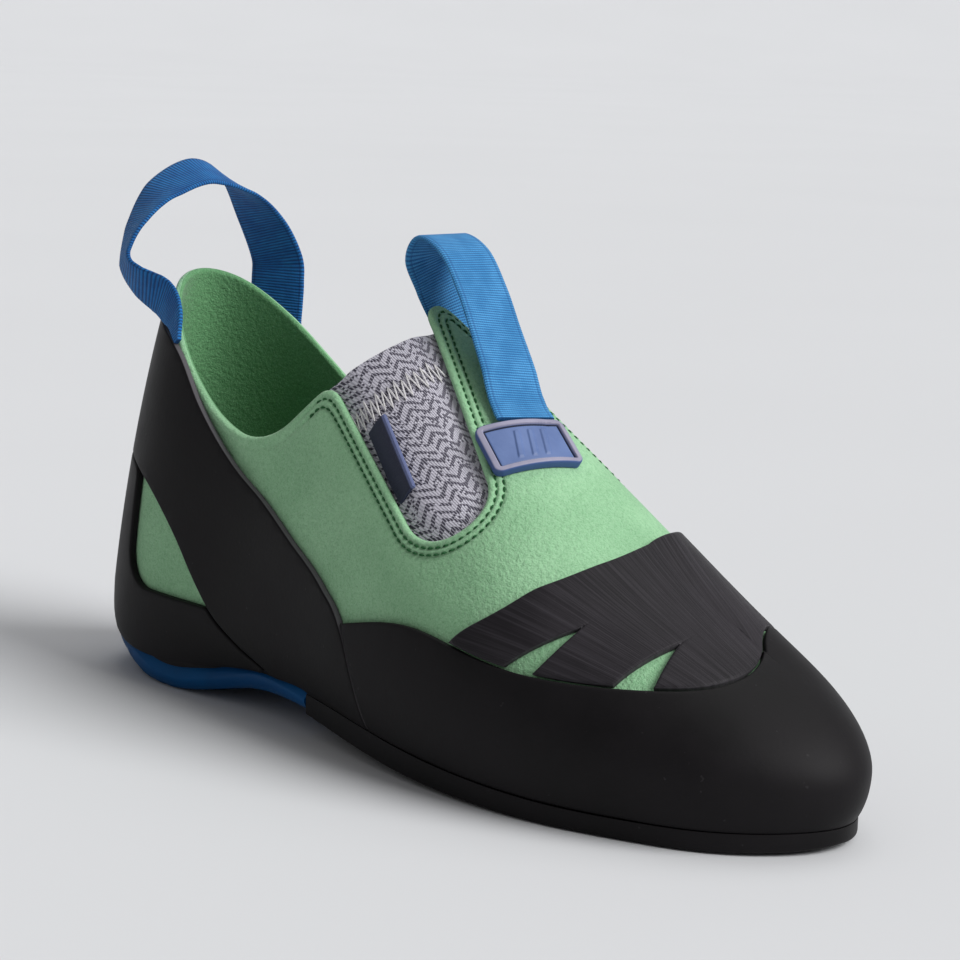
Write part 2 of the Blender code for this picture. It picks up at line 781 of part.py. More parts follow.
def between(name, inner, outer, faces, material):
    """The closed solid between two matching sets of points with the same faces."""
    count = len(outer)
    solid = [list(face) for face in faces]
    solid += [[v + count for v in reversed(face)] for face in faces]
    directed = {(a, b) for f in faces for a, b in zip(f, f[1:] + f[:1])}
    for a, b in sorted(directed):
        if (b, a) not in directed:
            solid.append([b, a, a + count, b + count])
    return new_object(name, list(outer) + list(inner), solid, material)


def shell(name, sheet, inner, outer, material):
    """The closed solid between two offsets of a sheet along its normals."""
    return between(
        name,
        [raised(p + n * inner) for p, n in zip(sheet.points, sheet.normals)],
        [raised(p + n * outer) for p, n in zip(sheet.points, sheet.normals)],
        sheet.faces,
        material,
    )


def faded(point, places):
    """0 behind the first place along the shoe, 1 ahead of the second, smooth between."""
    start, end = places
    share = min(max((point.x / LENGTH - start) / (end - start), 0.0), 1.0)
    return share * share * (3.0 - 2.0 * share)


def pad_under(point):
    """How much thicker than the other rubber the heel sole is under a point."""
    return HEEL_PAD + (ARCH_PAD - HEEL_PAD) * faded(point, PAD_FADE)


def heel_rubber(name, sheet, material):
    """Rubber on the upper whose face runs on into the face of the heel sole."""
    inner, outer = [], []
    for point, normal in zip(sheet.points, sheet.normals):
        pad = pad_under(point) * (1.0 - faded(point, STRAP_FADE))
        thick = RUBBER + pad * max(-normal.z, 0.0) ** 2
        inner.append(raised(point + normal * GAP))
        outer.append(raised(point + normal * (GAP + thick)))
    return between(name, inner, outer, sheet.faces, material)


def heel_sole(last, material):
    """The bowl under the heel: as thick as the rubber at its edge, flat where it stands."""
    sheet = heel_sole_sheet(last)
    inner, outer = [], []
    for point, normal in zip(sheet.points, sheet.normals):
        skin = raised(point + normal * GAP)
        down = max(-normal.z, 0.0)
        thick = RUBBER + pad_under(point) * down**2
        foot = raised(point + normal * (GAP + thick))
        if foot.z < 0.0:
            foot = skin.lerp(foot, skin.z / (skin.z - foot.z))
        outer.append(foot)
        inner.append(skin)
    return between("heel_sole", inner, outer, sheet.faces, material)


def sole_rim(stations, sign):
    """Places along one side of the outsole: edge, way out, feather, spine and tread heights."""
    toe = len(SECTIONS) - 1
    start = [row[0] for row in SECTIONS].index(TREAD_LIFT[0][0])
    lifts = [(start + i, lift) for i, (_, lift) in enumerate(TREAD_LIFT)]
    rows = around_rows(np.array([(sign * s) % (2 * toe) for s in stations]))
    rim = []
    for k, station in enumerate(stations):
        profile = last_profile({name: float(rows[name][k]) for name in rows})
        feather, spine = raised(profile[BOTTOM_STEPS]), raised(profile[0])
        outward = feather - spine
        outward.z = 0.0
        outward.normalize()
        tread = max(curve_through(lifts, station), 0.0) * INSTEP_HEIGHT
        edge = feather + outward * SOLE_OVERHANG
        rim.append((edge, outward, feather.z, spine.z, tread))
    return rim


def outsole(material):
    """The plate under the forefoot, from the arch to the toe."""
    steps, across = 3, 6
    toe = len(SECTIONS) - 1
    first = [row[0] for row in SECTIONS].index("waist") + 0.13
    stations = [first] + [s / steps for s in range(int(first * steps) + 1, toe * steps + 1)]
    points = []
    top, middle, bottom = [], [], []
    for left, right in zip(sole_rim(stations, 1), sole_rim(stations, -1)):
        single = (left[0] - right[0]).length < 1e-6
        rows = ([], [], [])
        for j in range(1 if single else across + 1):
            share = j / across
            flat = left[0].lerp(right[0], share)
            sag = 1.0 - (2 * share - 1) ** 4
            roof = left[2] + (left[3] - left[2]) * sag - GAP
            low_left = left[0] - left[1] * SOLE_BEVEL
            low = low_left.lerp(right[0] - right[1] * SOLE_BEVEL, share)
            found = [(0, (flat.x, flat.y, roof)), (2, (low.x, low.y, left[4]))]
            if j in (0, across):
                found.append((1, (flat.x, flat.y, left[4] + SOLE_BEVEL)))
            for which, place in found:
                rows[which].append(len(points))
                points.append(Vector(place))
        for kept, row in zip((top, middle, bottom), rows):
            kept.append(row)
    faces = []
    for grid, down in ((top, False), (bottom, True)):
        for row, following in zip(grid, grid[1:]):
            for j in range(across):
                ends = following[j : j + 2] if len(following) > 1 else following
                face = [row[j], row[j + 1]] + list(reversed(ends))
                faces.append(list(reversed(face)) if down else face)
    for i in range(len(top) - 1):
        for end in (0, -1):
            levels = [(grid[i][end], grid[i + 1][end]) for grid in (top, middle, bottom)]
            for (a, b), (c, d) in zip(levels, levels[1:]):
                face = [a, b, d, c]
                faces.append(face if end == 0 else list(reversed(face)))
    faces.append([middle[0][0]] + bottom[0] + [middle[0][-1]] + list(reversed(top[0])))
    faces = [list(reversed(face)) for face in faces]
    return new_object("outsole", points, faces, material)


def smooth_path(stops, steps):
    """Points along a smooth open curve through the stops, `steps` to a stretch."""
    count = len(stops)
    found = []
    for i in range(count - 1):
        before = stops[i - 1] if i else stops[0] * 2 - stops[1]
        after = stops[i + 2] if i + 2 < count else stops[-1] * 2 - stops[-2]
        a, b = stops[i], stops[i + 1]
        for step in range(steps):
            t = step / steps
            bend = (before * 2 - a * 5 + b * 4 - after) * t**2
            turn = (a * 3 - b * 3 + after - before) * t**3
            found.append((a * 2 + (b - before) * t + bend + turn) / 2)
    found.append(stops[-1].copy())
    return found


def ribbon(name, stops, width, skin, material, steps=3):
    """Webbing along a path, which rests on the skin where its stops say so."""
    path = smooth_path([Vector(stop[0]) for stop in stops], steps)
    directions = smooth_path([Vector(stop[1]) for stop in stops], steps)
    shares = smooth_path([Vector((stop[2], stop[3], 0.0)) for stop in stops], steps)
    points, faces = [], []
    for i, (centre, across, share) in enumerate(zip(path, directions, shares)):
        along = path[min(i + 1, len(path) - 1)] - path[max(i - 1, 0)]
        along.normalize()
        nearest, normal_there, _, _ = skin.find_nearest(centre)
        if share.y > REST_SHARE:
            out = normal_there
            normal = across.cross(along).normalized()
            side = 1.0 if normal.dot(out) > 0.0 else -1.0
            normal = normal.lerp(out * side, share.y).normalized()
            across = (across - normal * across.dot(normal)).normalized()
            rest = nearest + out * (GAP * 2.0 + WEBBING / 2)
            centre = centre.lerp(rest, share.y)
        else:
            across = (across - along * across.dot(along)).normalized()
            normal = across.cross(along)
        half = width * share.x / 2
        for a, n in ((-1.0, -0.5), (1.0, -0.5), (1.0, 0.5), (-1.0, 0.5)):
            corner = centre + across * (half * a) + normal * (WEBBING * n)
            points.append(corner)
    for i in range(len(path) - 1):
        for c in range(4):
            d = (c + 1) % 4
            faces.append([i * 4 + c, i * 4 + 4 + c, i * 4 + 4 + d, i * 4 + d])
    end = (len(path) - 1) * 4
    faces.append([0, 1, 2, 3])
    faces.append([end + 3, end + 2, end + 1, end])
    return new_object(name, [raised(p) for p in points], faces, material)


def heel_loop_stops():
    """The heel loop's middle line in metres."""
    return [
        ((x * LENGTH, y * BALL_WIDTH, z * COLLAR_HEIGHT), across, share, rest)
        for (x, y, z), across, share, rest in HEEL_LOOP
    ]


def front_loop_stops(skin):
    """The front loop's middle line, from the badge's upper edge on the upper."""
    middle = badge_middle()
    along, across = badge_axes()
    root = middle - along * BADGE_HALF[0] + across * FRONT_LOOP_SHIFT
    for _ in range(6):
        root = skin.find_nearest(root)[0]
        beyond = (root - middle).dot(along) + BADGE_HALF[0] + LOOP_CLEAR
        root = root - along * beyond
    return [(root + Vector(away), *rest) for away, *rest in FRONT_LOOP]


def painted(name, colour, roughness):
    material = bpy.data.materials.new(name)
    material.use_nodes = True
    shader = material.node_tree.nodes["Principled BSDF"]
    shader.inputs["Base Color"].default_value = (*colour, 1.0)
    shader.inputs["Roughness"].default_value = roughness
    shader.inputs["Metallic"].default_value = 0.0
    return material


def clear_scene():
    for obj in list(bpy.data.objects):
        bpy.data.objects.remove(obj)


def main():
    clear_scene()
    suede = painted("suede", (0.17, 0.42, 0.20), 0.9)
    knit = painted("knit", (0.30, 0.30, 0.34), 0.85)
    rubber = painted("rubber", (0.012, 0.012, 0.014), 0.55)
    blue_rubber = painted("blue_rubber", (0.0, 0.04, 0.15), 0.55)
    board = painted("insole_board", (0.25, 0.24, 0.20), 0.9)
    webbing = painted("webbing", (0.02, 0.16, 0.45), 0.8)
    moulded = painted("badge_rubber", (0.10, 0.16, 0.34), 0.5)
    cloth = painted("label_cloth", (0.01, 0.015, 0.05), 0.8)
    last = last_surface()
    under = -WALL - GAP
    outer = GAP + RUBBER
    shell("upper", upper_sheet(last), -WALL, 0.0, suede)
    shell("tongue", tongue_sheet(last), under - KNIT, under, knit)
    shell("rand", rand_sheet(last), GAP, outer, rubber)
    shell("toe_patch", patch_sheet(last), GAP, outer, rubber)
    heel_rubber("strap", strap_sheet(last), rubber)
    heel_rubber("heel_cup", heel_cup_sheet(last), rubber)
    shell("insole", insole_sheet(last), -INSOLE, 0.0, board)
    shell("badge", badge_sheet(last), GAP, GAP + BADGE, moulded)
    shell("label", label_sheet(last), under + GAP, under + GAP + LABEL, cloth)
    heel_sole(last, blue_rubber)
    outsole(rubber)
    skin = BVHTree.FromPolygons(last.points, last.faces)
    ribbon("heel_loop", heel_loop_stops(), HEEL_LOOP_WIDTH, skin, webbing)
    ribbon("front_loop", front_loop_stops(skin), FRONT_LOOP_WIDTH, skin, webbing)


main()
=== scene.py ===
"""Looks of the climbing slipper: fine pieces, materials, floor, light and camera.

The surface of the last is worked out from the same sizes and tables as the part's source, on a
finer mesh. Every piece is a sheet of that surface, cut along its own edges, with its edges
rounded and its relief added along the normals. Metres, +X to the toe, +Y to the big-toe side.
"""

import json
import math

import bmesh
import bpy
import numpy as np
from mathutils import Matrix, Vector
from mathutils.bvhtree import BVHTree

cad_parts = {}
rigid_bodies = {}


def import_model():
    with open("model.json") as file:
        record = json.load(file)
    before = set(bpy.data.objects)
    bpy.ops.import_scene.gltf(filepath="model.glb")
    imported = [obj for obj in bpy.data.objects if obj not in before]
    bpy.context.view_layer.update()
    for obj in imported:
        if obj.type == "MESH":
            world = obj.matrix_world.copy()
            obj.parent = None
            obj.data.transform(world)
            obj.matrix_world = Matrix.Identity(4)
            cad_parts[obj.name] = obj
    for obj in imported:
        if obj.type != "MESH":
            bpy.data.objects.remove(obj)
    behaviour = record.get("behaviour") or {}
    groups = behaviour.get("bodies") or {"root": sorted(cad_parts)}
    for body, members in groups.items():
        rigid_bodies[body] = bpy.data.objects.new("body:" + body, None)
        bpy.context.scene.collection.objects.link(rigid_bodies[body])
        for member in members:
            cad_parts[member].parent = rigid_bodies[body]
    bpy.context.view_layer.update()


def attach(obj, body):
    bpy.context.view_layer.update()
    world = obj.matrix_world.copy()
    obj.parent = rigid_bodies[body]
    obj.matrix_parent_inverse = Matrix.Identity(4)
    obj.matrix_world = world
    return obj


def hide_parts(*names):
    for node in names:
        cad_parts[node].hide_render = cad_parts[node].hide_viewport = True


# Sizes shared with the part
LENGTH = 0.248
BALL_WIDTH = 0.080
INSTEP_HEIGHT = 0.100
COLLAR_HEIGHT = 0.110
WALL = 0.0020
GAP = 0.0003
RUBBER = 0.0018
KNIT = 0.0012
WEBBING = 0.0012
OUTSOLE = 0.0044
HEEL_PAD = 0.0088
ARCH_PAD = 0.0030
INSOLE = 0.0015
BADGE = 0.0022
LABEL = 0.0010
SEAM_GAP = 0.0005
INSOLE_INSET = 0.0032
ORIGIN_X = 0.12442
ORIGIN_Y = 0.00067
FEATHER_ANGLE = math.radians(30)
PITCH = math.radians(1.15)
PIVOT_X = 0.210

# Sizes of the looks alone
ROWS_PER_SECTION = 14
BOTTOM_STEPS = 5
LOWER_STEPS = 9
UPPER_STEPS = 56
SNAP = 0.00002
ROUNDING = 0.0006
RUBBER_CLEAR = 0.0009
CORNER_BLEND = 0.0040
STITCH_ROWS = (0.0019, 0.0036)
STITCH_LENGTH = 0.0019
STITCH_GAP = 0.0003
THREAD = 0.00024
STRAND_AXIS = 0.012
STRAND_RADIUS = 0.030
COLLAR_ROUNDING = 0.0010
STITCH_SIDES = 6
STITCH_RINGS = 6
KNIT_SWELL = 0.0012
LABEL_STAND = 0.0009
ZIGZAG_THREAD = 0.00022
RIB_SPACING = 0.0036
SOLE_ROWS = 12
SOLE_COLUMNS = 20
SOLE_START = 0.13
STAGE_HALF = 12.0
STAGE_FLAT = 7.0
STAGE_RADIUS = 5.0
MM = 1000.0

SECTION_COLUMNS = (
    "name ring_x lateral medial tuck feather_z wide_z crown_x crown_y crown_z"
    " lean ridge spine_x spine_z"
).split()
SECTIONS = (
    ("heel back", 0.000, 0.00, 0.00, 0.118, 0.030, 0.150, 0.115, 0.00, 1.45, 0.09, 0.0, 0.080, 0.022),
    ("heel corner", 0.026, -0.24, 0.23, 0.112, 0.028, 0.155, 0.132, 0.00, 1.43, 0.09, 0.0, 0.095, 0.020),
    ("heel side", 0.106, -0.375, 0.36, 0.088, 0.022, 0.175, 0.185, 0.00, 1.38, 0.05, 0.0, 0.140, 0.018),
    ("heel front", 0.203, -0.388, 0.375, 0.070, 0.025, 0.210, 0.270, 0.00, 1.31, 0.02, 0.0, 0.215, 0.020),
    ("waist back", 0.300, -0.380, 0.350, 0.060, 0.045, 0.215, 0.335, 0.00, 1.22, 0.00, 0.0, 0.305, 0.038),
    ("waist", 0.400, -0.410, 0.350, 0.055, 0.052, 0.215, 0.410, 0.01, 1.095, 0.00, 0.0, 0.400, 0.046),
    ("instep", 0.497, -0.455, 0.400, 0.050, 0.040, 0.200, 0.492, 0.03, 0.955, 0.00, 0.0, 0.492, 0.036),
    ("ball back", 0.593, -0.485, 0.460, 0.045, 0.022, 0.180, 0.578, 0.05, 0.805, 0.00, 0.0, 0.585, 0.018),
    ("ball", 0.689, -0.482, 0.500, 0.040, 0.010, 0.160, 0.665, 0.07, 0.650, 0.00, 0.0, 0.675, 0.008),
    ("ball front", 0.781, -0.438, 0.495, 0.036, 0.006, 0.140, 0.745, 0.10, 0.508, 0.00, 0.05, 0.760, 0.006),
    ("toes", 0.866, -0.350, 0.430, 0.036, 0.008, 0.128, 0.810, 0.12, 0.413, 0.00, 0.12, 0.835, 0.008),
    ("toe corner", 0.946, -0.215, 0.320, 0.036, 0.014, 0.120, 0.858, 0.14, 0.350, 0.00, 0.25, 0.890, 0.013),
    ("toe tip", 1.000, 0.070, 0.070, 0.036, 0.020, 0.115, 0.880, 0.14, 0.325, 0.00, 0.40, 0.915, 0.016),
)
SECTION_NAMES = [row[0] for row in SECTIONS]
COLLAR = (
    (-0.040, 1.010), (0.030, 1.000), (0.070, 0.960), (0.120, 0.870), (0.175, 0.765),
    (0.235, 0.675), (0.285, 0.645), (0.340, 0.690), (0.380, 0.775), (0.415, 0.850),
    (0.440, 0.985), (0.462, 1.200),
)
SLOT_TOP = (0.426, 0.198, 0.886)
SLOT_FOOT = (0.578, 0.320, 0.600)
SLOT_TOP_HALF = 0.0149
SLOT_FOOT_HALF = 0.0115
SLOT_SHIFT = 0.0020
SLOT_END = 1.08
TONGUE_LAP = 0.0060
TONGUE_FOOT = 0.50
TONGUE_TOP = ((0.375, 0.775), (0.470, 0.960))
RAND_EDGE = (
    (0.30, 0.30), (0.30, 0.30), (0.30, 0.30), (0.30, 0.30), (0.28, 0.28),
    (0.25, 0.25), (0.29, 0.28), (0.335, 0.31), (0.305, 0.30), (0.288, 0.29),
    (0.290, 0.29), (0.315, 0.32), (0.375, 0.375),
)
CAP_REAR = (
    (-0.60, 0.955), (-0.20, 0.958), (-0.05, 0.950), (0.06, 0.917), (0.15, 0.870),
    (0.25, 0.842), (0.40, 0.818), (0.60, 0.795),
)
PATCH_REAR = (
    (-0.60, 0.590), (-0.50, 0.628), (-0.42, 0.683), (-0.30, 0.716), (-0.11, 0.735),
    (0.11, 0.728), (0.30, 0.706), (0.42, 0.672), (0.50, 0.628), (0.60, 0.590),
)
SLITS = (
    ((0.704, 0.300), (0.738, 0.295), (0.768, 0.440)),
    ((0.815, 0.270), (0.858, 0.275), (0.836, 0.412)),
)
SLIT_BULGE = 0.0008
SLIT_REACH = 0.0040
STRAP_FRONT = (
    (-0.040, 0.895), (0.040, 0.886), (0.100, 0.855), (0.160, 0.791), (0.206, 0.691),
    (0.278, 0.568), (0.331, 0.509), (0.383, 0.445), (0.452, 0.364), (0.488, 0.300),
    (0.508, 0.227), (0.530, 0.091), (0.545, -0.091),
)
STRAP_REAR = (
    (-0.040, 0.570), (0.040, 0.570), (0.090, 0.552), (0.137, 0.500), (0.186, 0.400),
    (0.226, 0.285), (0.250, 0.225), (0.290, 0.165), (0.345, 0.115), (0.400, 0.060),
    (0.450, 0.000),
)
MEDIAL_DROP = 0.007
WINDOW_LEFT = 0.1015
WINDOW_FOOT = 0.233
WINDOW_RADIUS = 0.0105
HEEL_SOLE_TOP = (
    (-0.040, 0.124), (0.010, 0.118), (0.050, 0.099), (0.110, 0.080), (0.180, 0.074),
    (0.235, 0.083), (0.280, 0.096), (0.320, 0.106), (0.370, 0.108), (0.430, 0.104),
)
ARCH_JOINT = 0.412
PAD_FADE = (0.150, 0.340)
STRAP_FADE = (0.340, 0.405)
TREAD_LIFT = (0.062, 0.036, 0.014, 0.003, 0.000, 0.000, 0.004, 0.014)
SOLE_OVERHANG = 0.0026
SOLE_BEVEL = 0.0009
HEEL_LOOP = (
    ((0.139, -0.342, 0.833), (0.55, -0.10, 0.80), 0.12, 1.0),
    ((0.117, -0.325, 0.888), (0.60, -0.20, 0.75), 0.50, 1.0),
    ((0.087, -0.316, 0.930), (0.70, -0.35, 0.60), 0.80, 0.7),
    ((0.063, -0.330, 0.962), (0.78, -0.44, 0.40), 0.94, 0.2),
    ((0.050, -0.322, 1.010), (0.84, -0.50, 0.10), 1.00, 0.0),
    ((0.046, -0.269, 1.091), (0.84, -0.50, -0.15), 1.00, 0.0),
    ((0.046, -0.156, 1.177), (0.85, -0.42, -0.32), 1.00, 0.0),
    ((0.052, 0.000, 1.223), (0.85, -0.30, -0.30), 1.00, 0.0),
    ((0.058, 0.138, 1.182), (0.88, 0.00, -0.20), 1.00, 0.0),
    ((0.064, 0.240, 1.091), (0.90, 0.25, 0.00), 1.00, 0.0),
    ((0.070, 0.298, 1.000), (0.90, 0.38, 0.00), 1.00, 0.0),
    ((0.071, 0.304, 0.940), (0.89, 0.42, 0.00), 1.00, 0.0),
    ((0.071, 0.300, 0.880), (0.88, 0.45, 0.00), 1.00, 0.0),
    ((0.073, 0.290, 0.820), (0.87, 0.47, 0.00), 1.00, 0.0),
    ((0.080, 0.282, 0.760), (0.85, 0.53, 0.00), 1.00, 0.0),
)
FRONT_LOOP = (
    ((0.0000, 0.0000, 0.0000), (0.14, 0.98, -0.08), 1.00, 1.0),
    ((-0.0085, 0.0025, 0.0112), (0.05, 1.00, 0.00), 1.00, 0.0),
    ((-0.0165, 0.0045, 0.0212), (0.00, 1.00, 0.00), 1.00, 0.0),
    ((-0.0235, 0.0060, 0.0302), (0.00, 1.00, 0.00), 1.00, 0.0),
    ((-0.0310, 0.0065, 0.0387), (0.00, 1.00, 0.00), 1.00, 0.0),
    ((-0.0396, 0.0065, 0.0418), (0.00, 1.00, 0.00), 1.00, 0.0),
    ((-0.0434, 0.0063, 0.0366), (0.00, 1.00, 0.00), 1.00, 0.0),
    ((-0.0420, 0.0086, 0.0290), (0.05, 1.00, 0.00), 0.94, 0.0),
    ((-0.0400, 0.0106, 0.0222), (0.10, 1.00, 0.00), 0.84, 0.0),
    ((-0.0382, 0.0112, 0.0172), (0.10, 1.00, 0.00), 0.74, 0.0),
)
HEEL_LOOP_WIDTH = 0.0165
FRONT_LOOP_WIDTH = 0.0170
FRONT_LOOP_SHIFT = 0.0021
LOOP_CLEAR = 0.0008
BADGE_CENTRE = (0.612, -0.045, 0.7295)
BADGE_HALF = (0.0075, 0.0118)
BADGE_RADIUS = 0.0020
BADGE_TURN = math.radians(10)
BADGE_SLOPE = math.radians(35)
LABEL_ENDS = ((0.470, 0.739), (0.539, 0.606))
LABEL_HALF = 0.0032

# Soft creases of the suede: two ends (shares of LENGTH and COLLAR_HEIGHT), side, depth, width
CREASES = (
    ((0.215, 0.640), (0.300, 0.560), -1, 0.0007, 0.0030),
    ((0.330, 0.640), (0.420, 0.560), -1, 0.0004, 0.0050),
    ((0.215, 0.640), (0.300, 0.560), 1, 0.0007, 0.0030),
    ((0.560, 0.520), (0.640, 0.470), -1, 0.0003, 0.0045),
    ((0.560, 0.520), (0.640, 0.470), 1, 0.0003, 0.0045),
)

# The white zigzag seam on the knit: places on the last in metres
ZIGZAG = (
    (0.1080, -0.0290, 0.0805),
    (0.1160, -0.0220, 0.0875),
    (0.1205, -0.0160, 0.0915),
    (0.1240, -0.0090, 0.0960),
)
ZIGZAG_PITCH = 0.00190
ZIGZAG_HALF = 0.0032


def smooth_step(low, high, value):
    share = np.clip((value - low) / (high - low), 0.0, 1.0)
    return share * share * (3.0 - 2.0 * share)


def hill(value, middle, width):
    """A soft ridge, 1 high at its middle."""
    return np.exp(-(((value - middle) / width) ** 2))


def curve_through(points, at):
    """Heights of a smooth open curve through (x, z) points at x = at."""
    x, z = np.array(points, float).T
    slope = np.gradient(z, x)
    at = np.clip(at, x[0], x[-1])
    i = np.clip(np.searchsorted(x, at) - 1, 0, len(x) - 2)
    h = x[i + 1] - x[i]
    t = (at - x[i]) / h
    low = (2 * t**3 - 3 * t**2 + 1) * z[i] + (t**3 - 2 * t**2 + t) * h * slope[i]
    high = (3 * t**2 - 2 * t**3) * z[i + 1] + (t**3 - t**2) * h * slope[i + 1]
    return low + high


def periodic_spline(values, at):
    count = len(values)
    values = np.array(values, float)
    matrix = np.zeros((count, count))
    for i in range(count):
        matrix[i, i] = 4.0
        matrix[i, (i - 1) % count] = 1.0
        matrix[i, (i + 1) % count] = 1.0
    right = 6.0 * (np.roll(values, -1) - 2.0 * values + np.roll(values, 1))
    bend = np.linalg.solve(matrix, right)
    low = np.floor(at).astype(int) % count
    high = (low + 1) % count
    b = at - np.floor(at)
    a = 1.0 - b
    curved = ((a**3 - a) * bend[low] + (b**3 - b) * bend[high]) / 6.0
    return a * values[low] + b * values[high] + curved


def around_rows(at):
    """The sections' columns at places around the shoe."""
    table = {
        name: np.array([row[i] for row in SECTIONS])
        for i, name in enumerate(SECTION_COLUMNS)
        if name != "name"
    }

    def ring(near, far):
        return periodic_spline(np.concatenate([near, far[-2:0:-1]]), at)

    found = {name: ring(v, v) for name, v in table.items() if name not in ("lateral", "medial")}
    found["ring_y"] = ring(table["lateral"], table["medial"])
    middle = (table["lateral"] + table["medial"]) / 2
    found["spine_y"] = ring(middle, middle)
    lateral, medial = np.array(RAND_EDGE).T
    found["rand"] = ring(lateral, medial)
    return found


def last_profiles(at):
    """Points up the last at places around it, as an array of place, step and coordinate."""
    row = around_rows(at)
    zero = np.zeros(len(at))
    ring = np.stack([row["ring_x"] * LENGTH, row["ring_y"] * BALL_WIDTH, zero], 1)
    crown = np.stack([row["crown_x"] * LENGTH, row["crown_y"] * BALL_WIDTH, zero], 1)
    spine = np.stack([row["spine_x"] * LENGTH, row["spine_y"] * BALL_WIDTH, zero], 1)
    unit = spine - ring
    unit /= np.linalg.norm(unit, axis=1)[:, None]
    feather_z, wide_z, crown_z, spine_z = (
        OUTSOLE + row[name] * INSTEP_HEIGHT
        for name in ("feather_z", "wide_z", "crown_z", "spine_z")
    )
    tuck = row["tuck"] * BALL_WIDTH
    lean = row["lean"]
    feather = ring + unit * (tuck - lean * (wide_z - feather_z))[:, None]
    steps = []

    def add(flat, level):
        point = flat.copy()
        point[:, 2] = level
        steps.append(point)

    for step in range(BOTTOM_STEPS):
        share = step / BOTTOM_STEPS
        add(spine + (feather - spine) * share, spine_z + (feather_z - spine_z) * share**3)
    low_sin, low_cos = math.sin(FEATHER_ANGLE), math.cos(FEATHER_ANGLE)
    for step in range(LOWER_STEPS):
        angle = FEATHER_ANGLE + (math.pi / 2 - FEATHER_ANGLE) * step / LOWER_STEPS
        level = wide_z + (feather_z - wide_z) * math.cos(angle) / low_cos
        tucked = tuck * (1.0 - math.sin(angle)) / (1.0 - low_sin)
        add(ring + unit * (tucked + lean * (level - wide_z))[:, None], level)
    for step in range(UPPER_STEPS + 1):
        angle = math.pi / 2 * step / UPPER_STEPS
        across = 1.0 - math.cos(angle)
        rise = (1.0 - row["ridge"]) * math.sin(angle) + row["ridge"] * across
        level = wide_z + (crown_z - wide_z) * rise
        slope = lean * (level - wide_z) * math.cos(angle)
        add(ring + (crown - ring) * across + unit * slope[:, None], level)
    return np.stack(steps, 1), OUTSOLE + row["rand"] * INSTEP_HEIGHT


def surface_normals(points, faces):
    """Area-weighted vertex normals of a mesh of triangles and quads."""
    quads = np.array([(list(face) + [face[-1]])[:4] for face in faces])
    a, b, c, d = (points[quads[:, i]] for i in range(4))
    weight = np.cross(c - a, d - b)
    normals = np.zeros_like(points)
    for i in range(4):
        np.add.at(normals, quads[:, i], weight)
    return normals / np.maximum(np.linalg.norm(normals, axis=1), 1e-12)[:, None]


class Sheet:
    """An open piece of the last's surface. Columns: point, normal, lift, rand."""

    def __init__(self, data, faces):
        self.data = data
        self.faces = faces

    @property
    def points(self):
        return self.data[:, 0:3]

    @property
    def normals(self):
        normals = self.data[:, 3:6]
        return normals / np.linalg.norm(normals, axis=1)[:, None]

    @property
    def lift(self):
        return self.data[:, 6]

    @property
    def rand(self):
        return self.data[:, 7]

    def split(self, measure, both=True):
        """Split the faces along measure = 0, and drop those below it unless both are kept."""
        value = np.where(np.abs(measure) < SNAP, 0.0, measure).tolist()
        made, ends, shares, faces = {}, [], [], []
        start = len(value)

        def crossing(a, b):
            key = (a, b) if a < b else (b, a)
            if key not in made:
                low, high = key
                made[key] = start + len(ends)
                ends.append(key)
                shares.append(value[low] / (value[low] - value[high]))
            return made[key]

        for face in self.faces:
            levels = [value[v] for v in face]
            if min(levels) >= 0.0:
                if both or max(levels) > 0.0:
                    faces.append(face)
                continue
            if max(levels) <= 0.0:
                if both:
                    faces.append(face)
                continue
            up, down = [], []
            for a, b in zip(face, face[1:] + face[:1]):
                if value[a] >= 0.0:
                    up.append(a)
                if value[a] <= 0.0:
                    down.append(a)
                if value[a] * value[b] < 0.0:
                    middle = crossing(a, b)
                    up.append(middle)
                    down.append(middle)
            if len(up) > 2:
                faces.append(up)
            if both and len(down) > 2:
                faces.append(down)
        data = self.data
        if ends:
            low, high = np.array(ends).T
            share = np.array(shares)[:, None]
            data = np.vstack([data, data[low] + (data[high] - data[low]) * share])
        return Sheet(data, faces)

    def kept(self, measure):
        """The side where the measure is above 0."""
        sheet = self.split(measure, both=False)
        used = np.unique([v for face in sheet.faces for v in face])
        new = np.zeros(len(sheet.data), int)
        new[used] = np.arange(len(used))
        return Sheet(sheet.data[used], [[int(new[v]) for v in face] for face in sheet.faces])

    def trimmed(self, room):
        return self.kept(room(self.points))

    def scored(self, room, levels):
        sheet = self
        for level in levels:
            sheet = sheet.split(room(sheet) - level)
        return sheet

    def refined(self, near):
        """Split each face that has a point where near is above 0 into smaller ones."""
        flagged = (near > 0.0).tolist()
        made, groups = {}, []
        start = len(self.data)
        split = [face for face in self.faces if any(flagged[v] for v in face)]
        for face in split:
            for a, b in zip(face, face[1:] + face[:1]):
                key = (min(a, b), max(a, b))
                if key not in made:
                    made[key] = start + len(groups)
                    groups.append(key)
        faces = []
        for face in self.faces:
            sides = [(min(a, b), max(a, b)) for a, b in zip(face, face[1:] + face[:1])]
            if any(flagged[v] for v in face):
                centre = start + len(groups)
                groups.append(tuple(face))
                for i, corner in enumerate(face):
                    faces.append([corner, made[sides[i]], centre, made[sides[i - 1]]])
                continue
            ring = []
            for corner, side in zip(face, sides):
                ring.append(corner)
                if side in made:
                    ring.append(made[side])
            faces.append(ring)
        means = np.array([self.data[list(group)].mean(0) for group in groups])
        return Sheet(np.vstack([self.data, means]) if groups else self.data, faces)


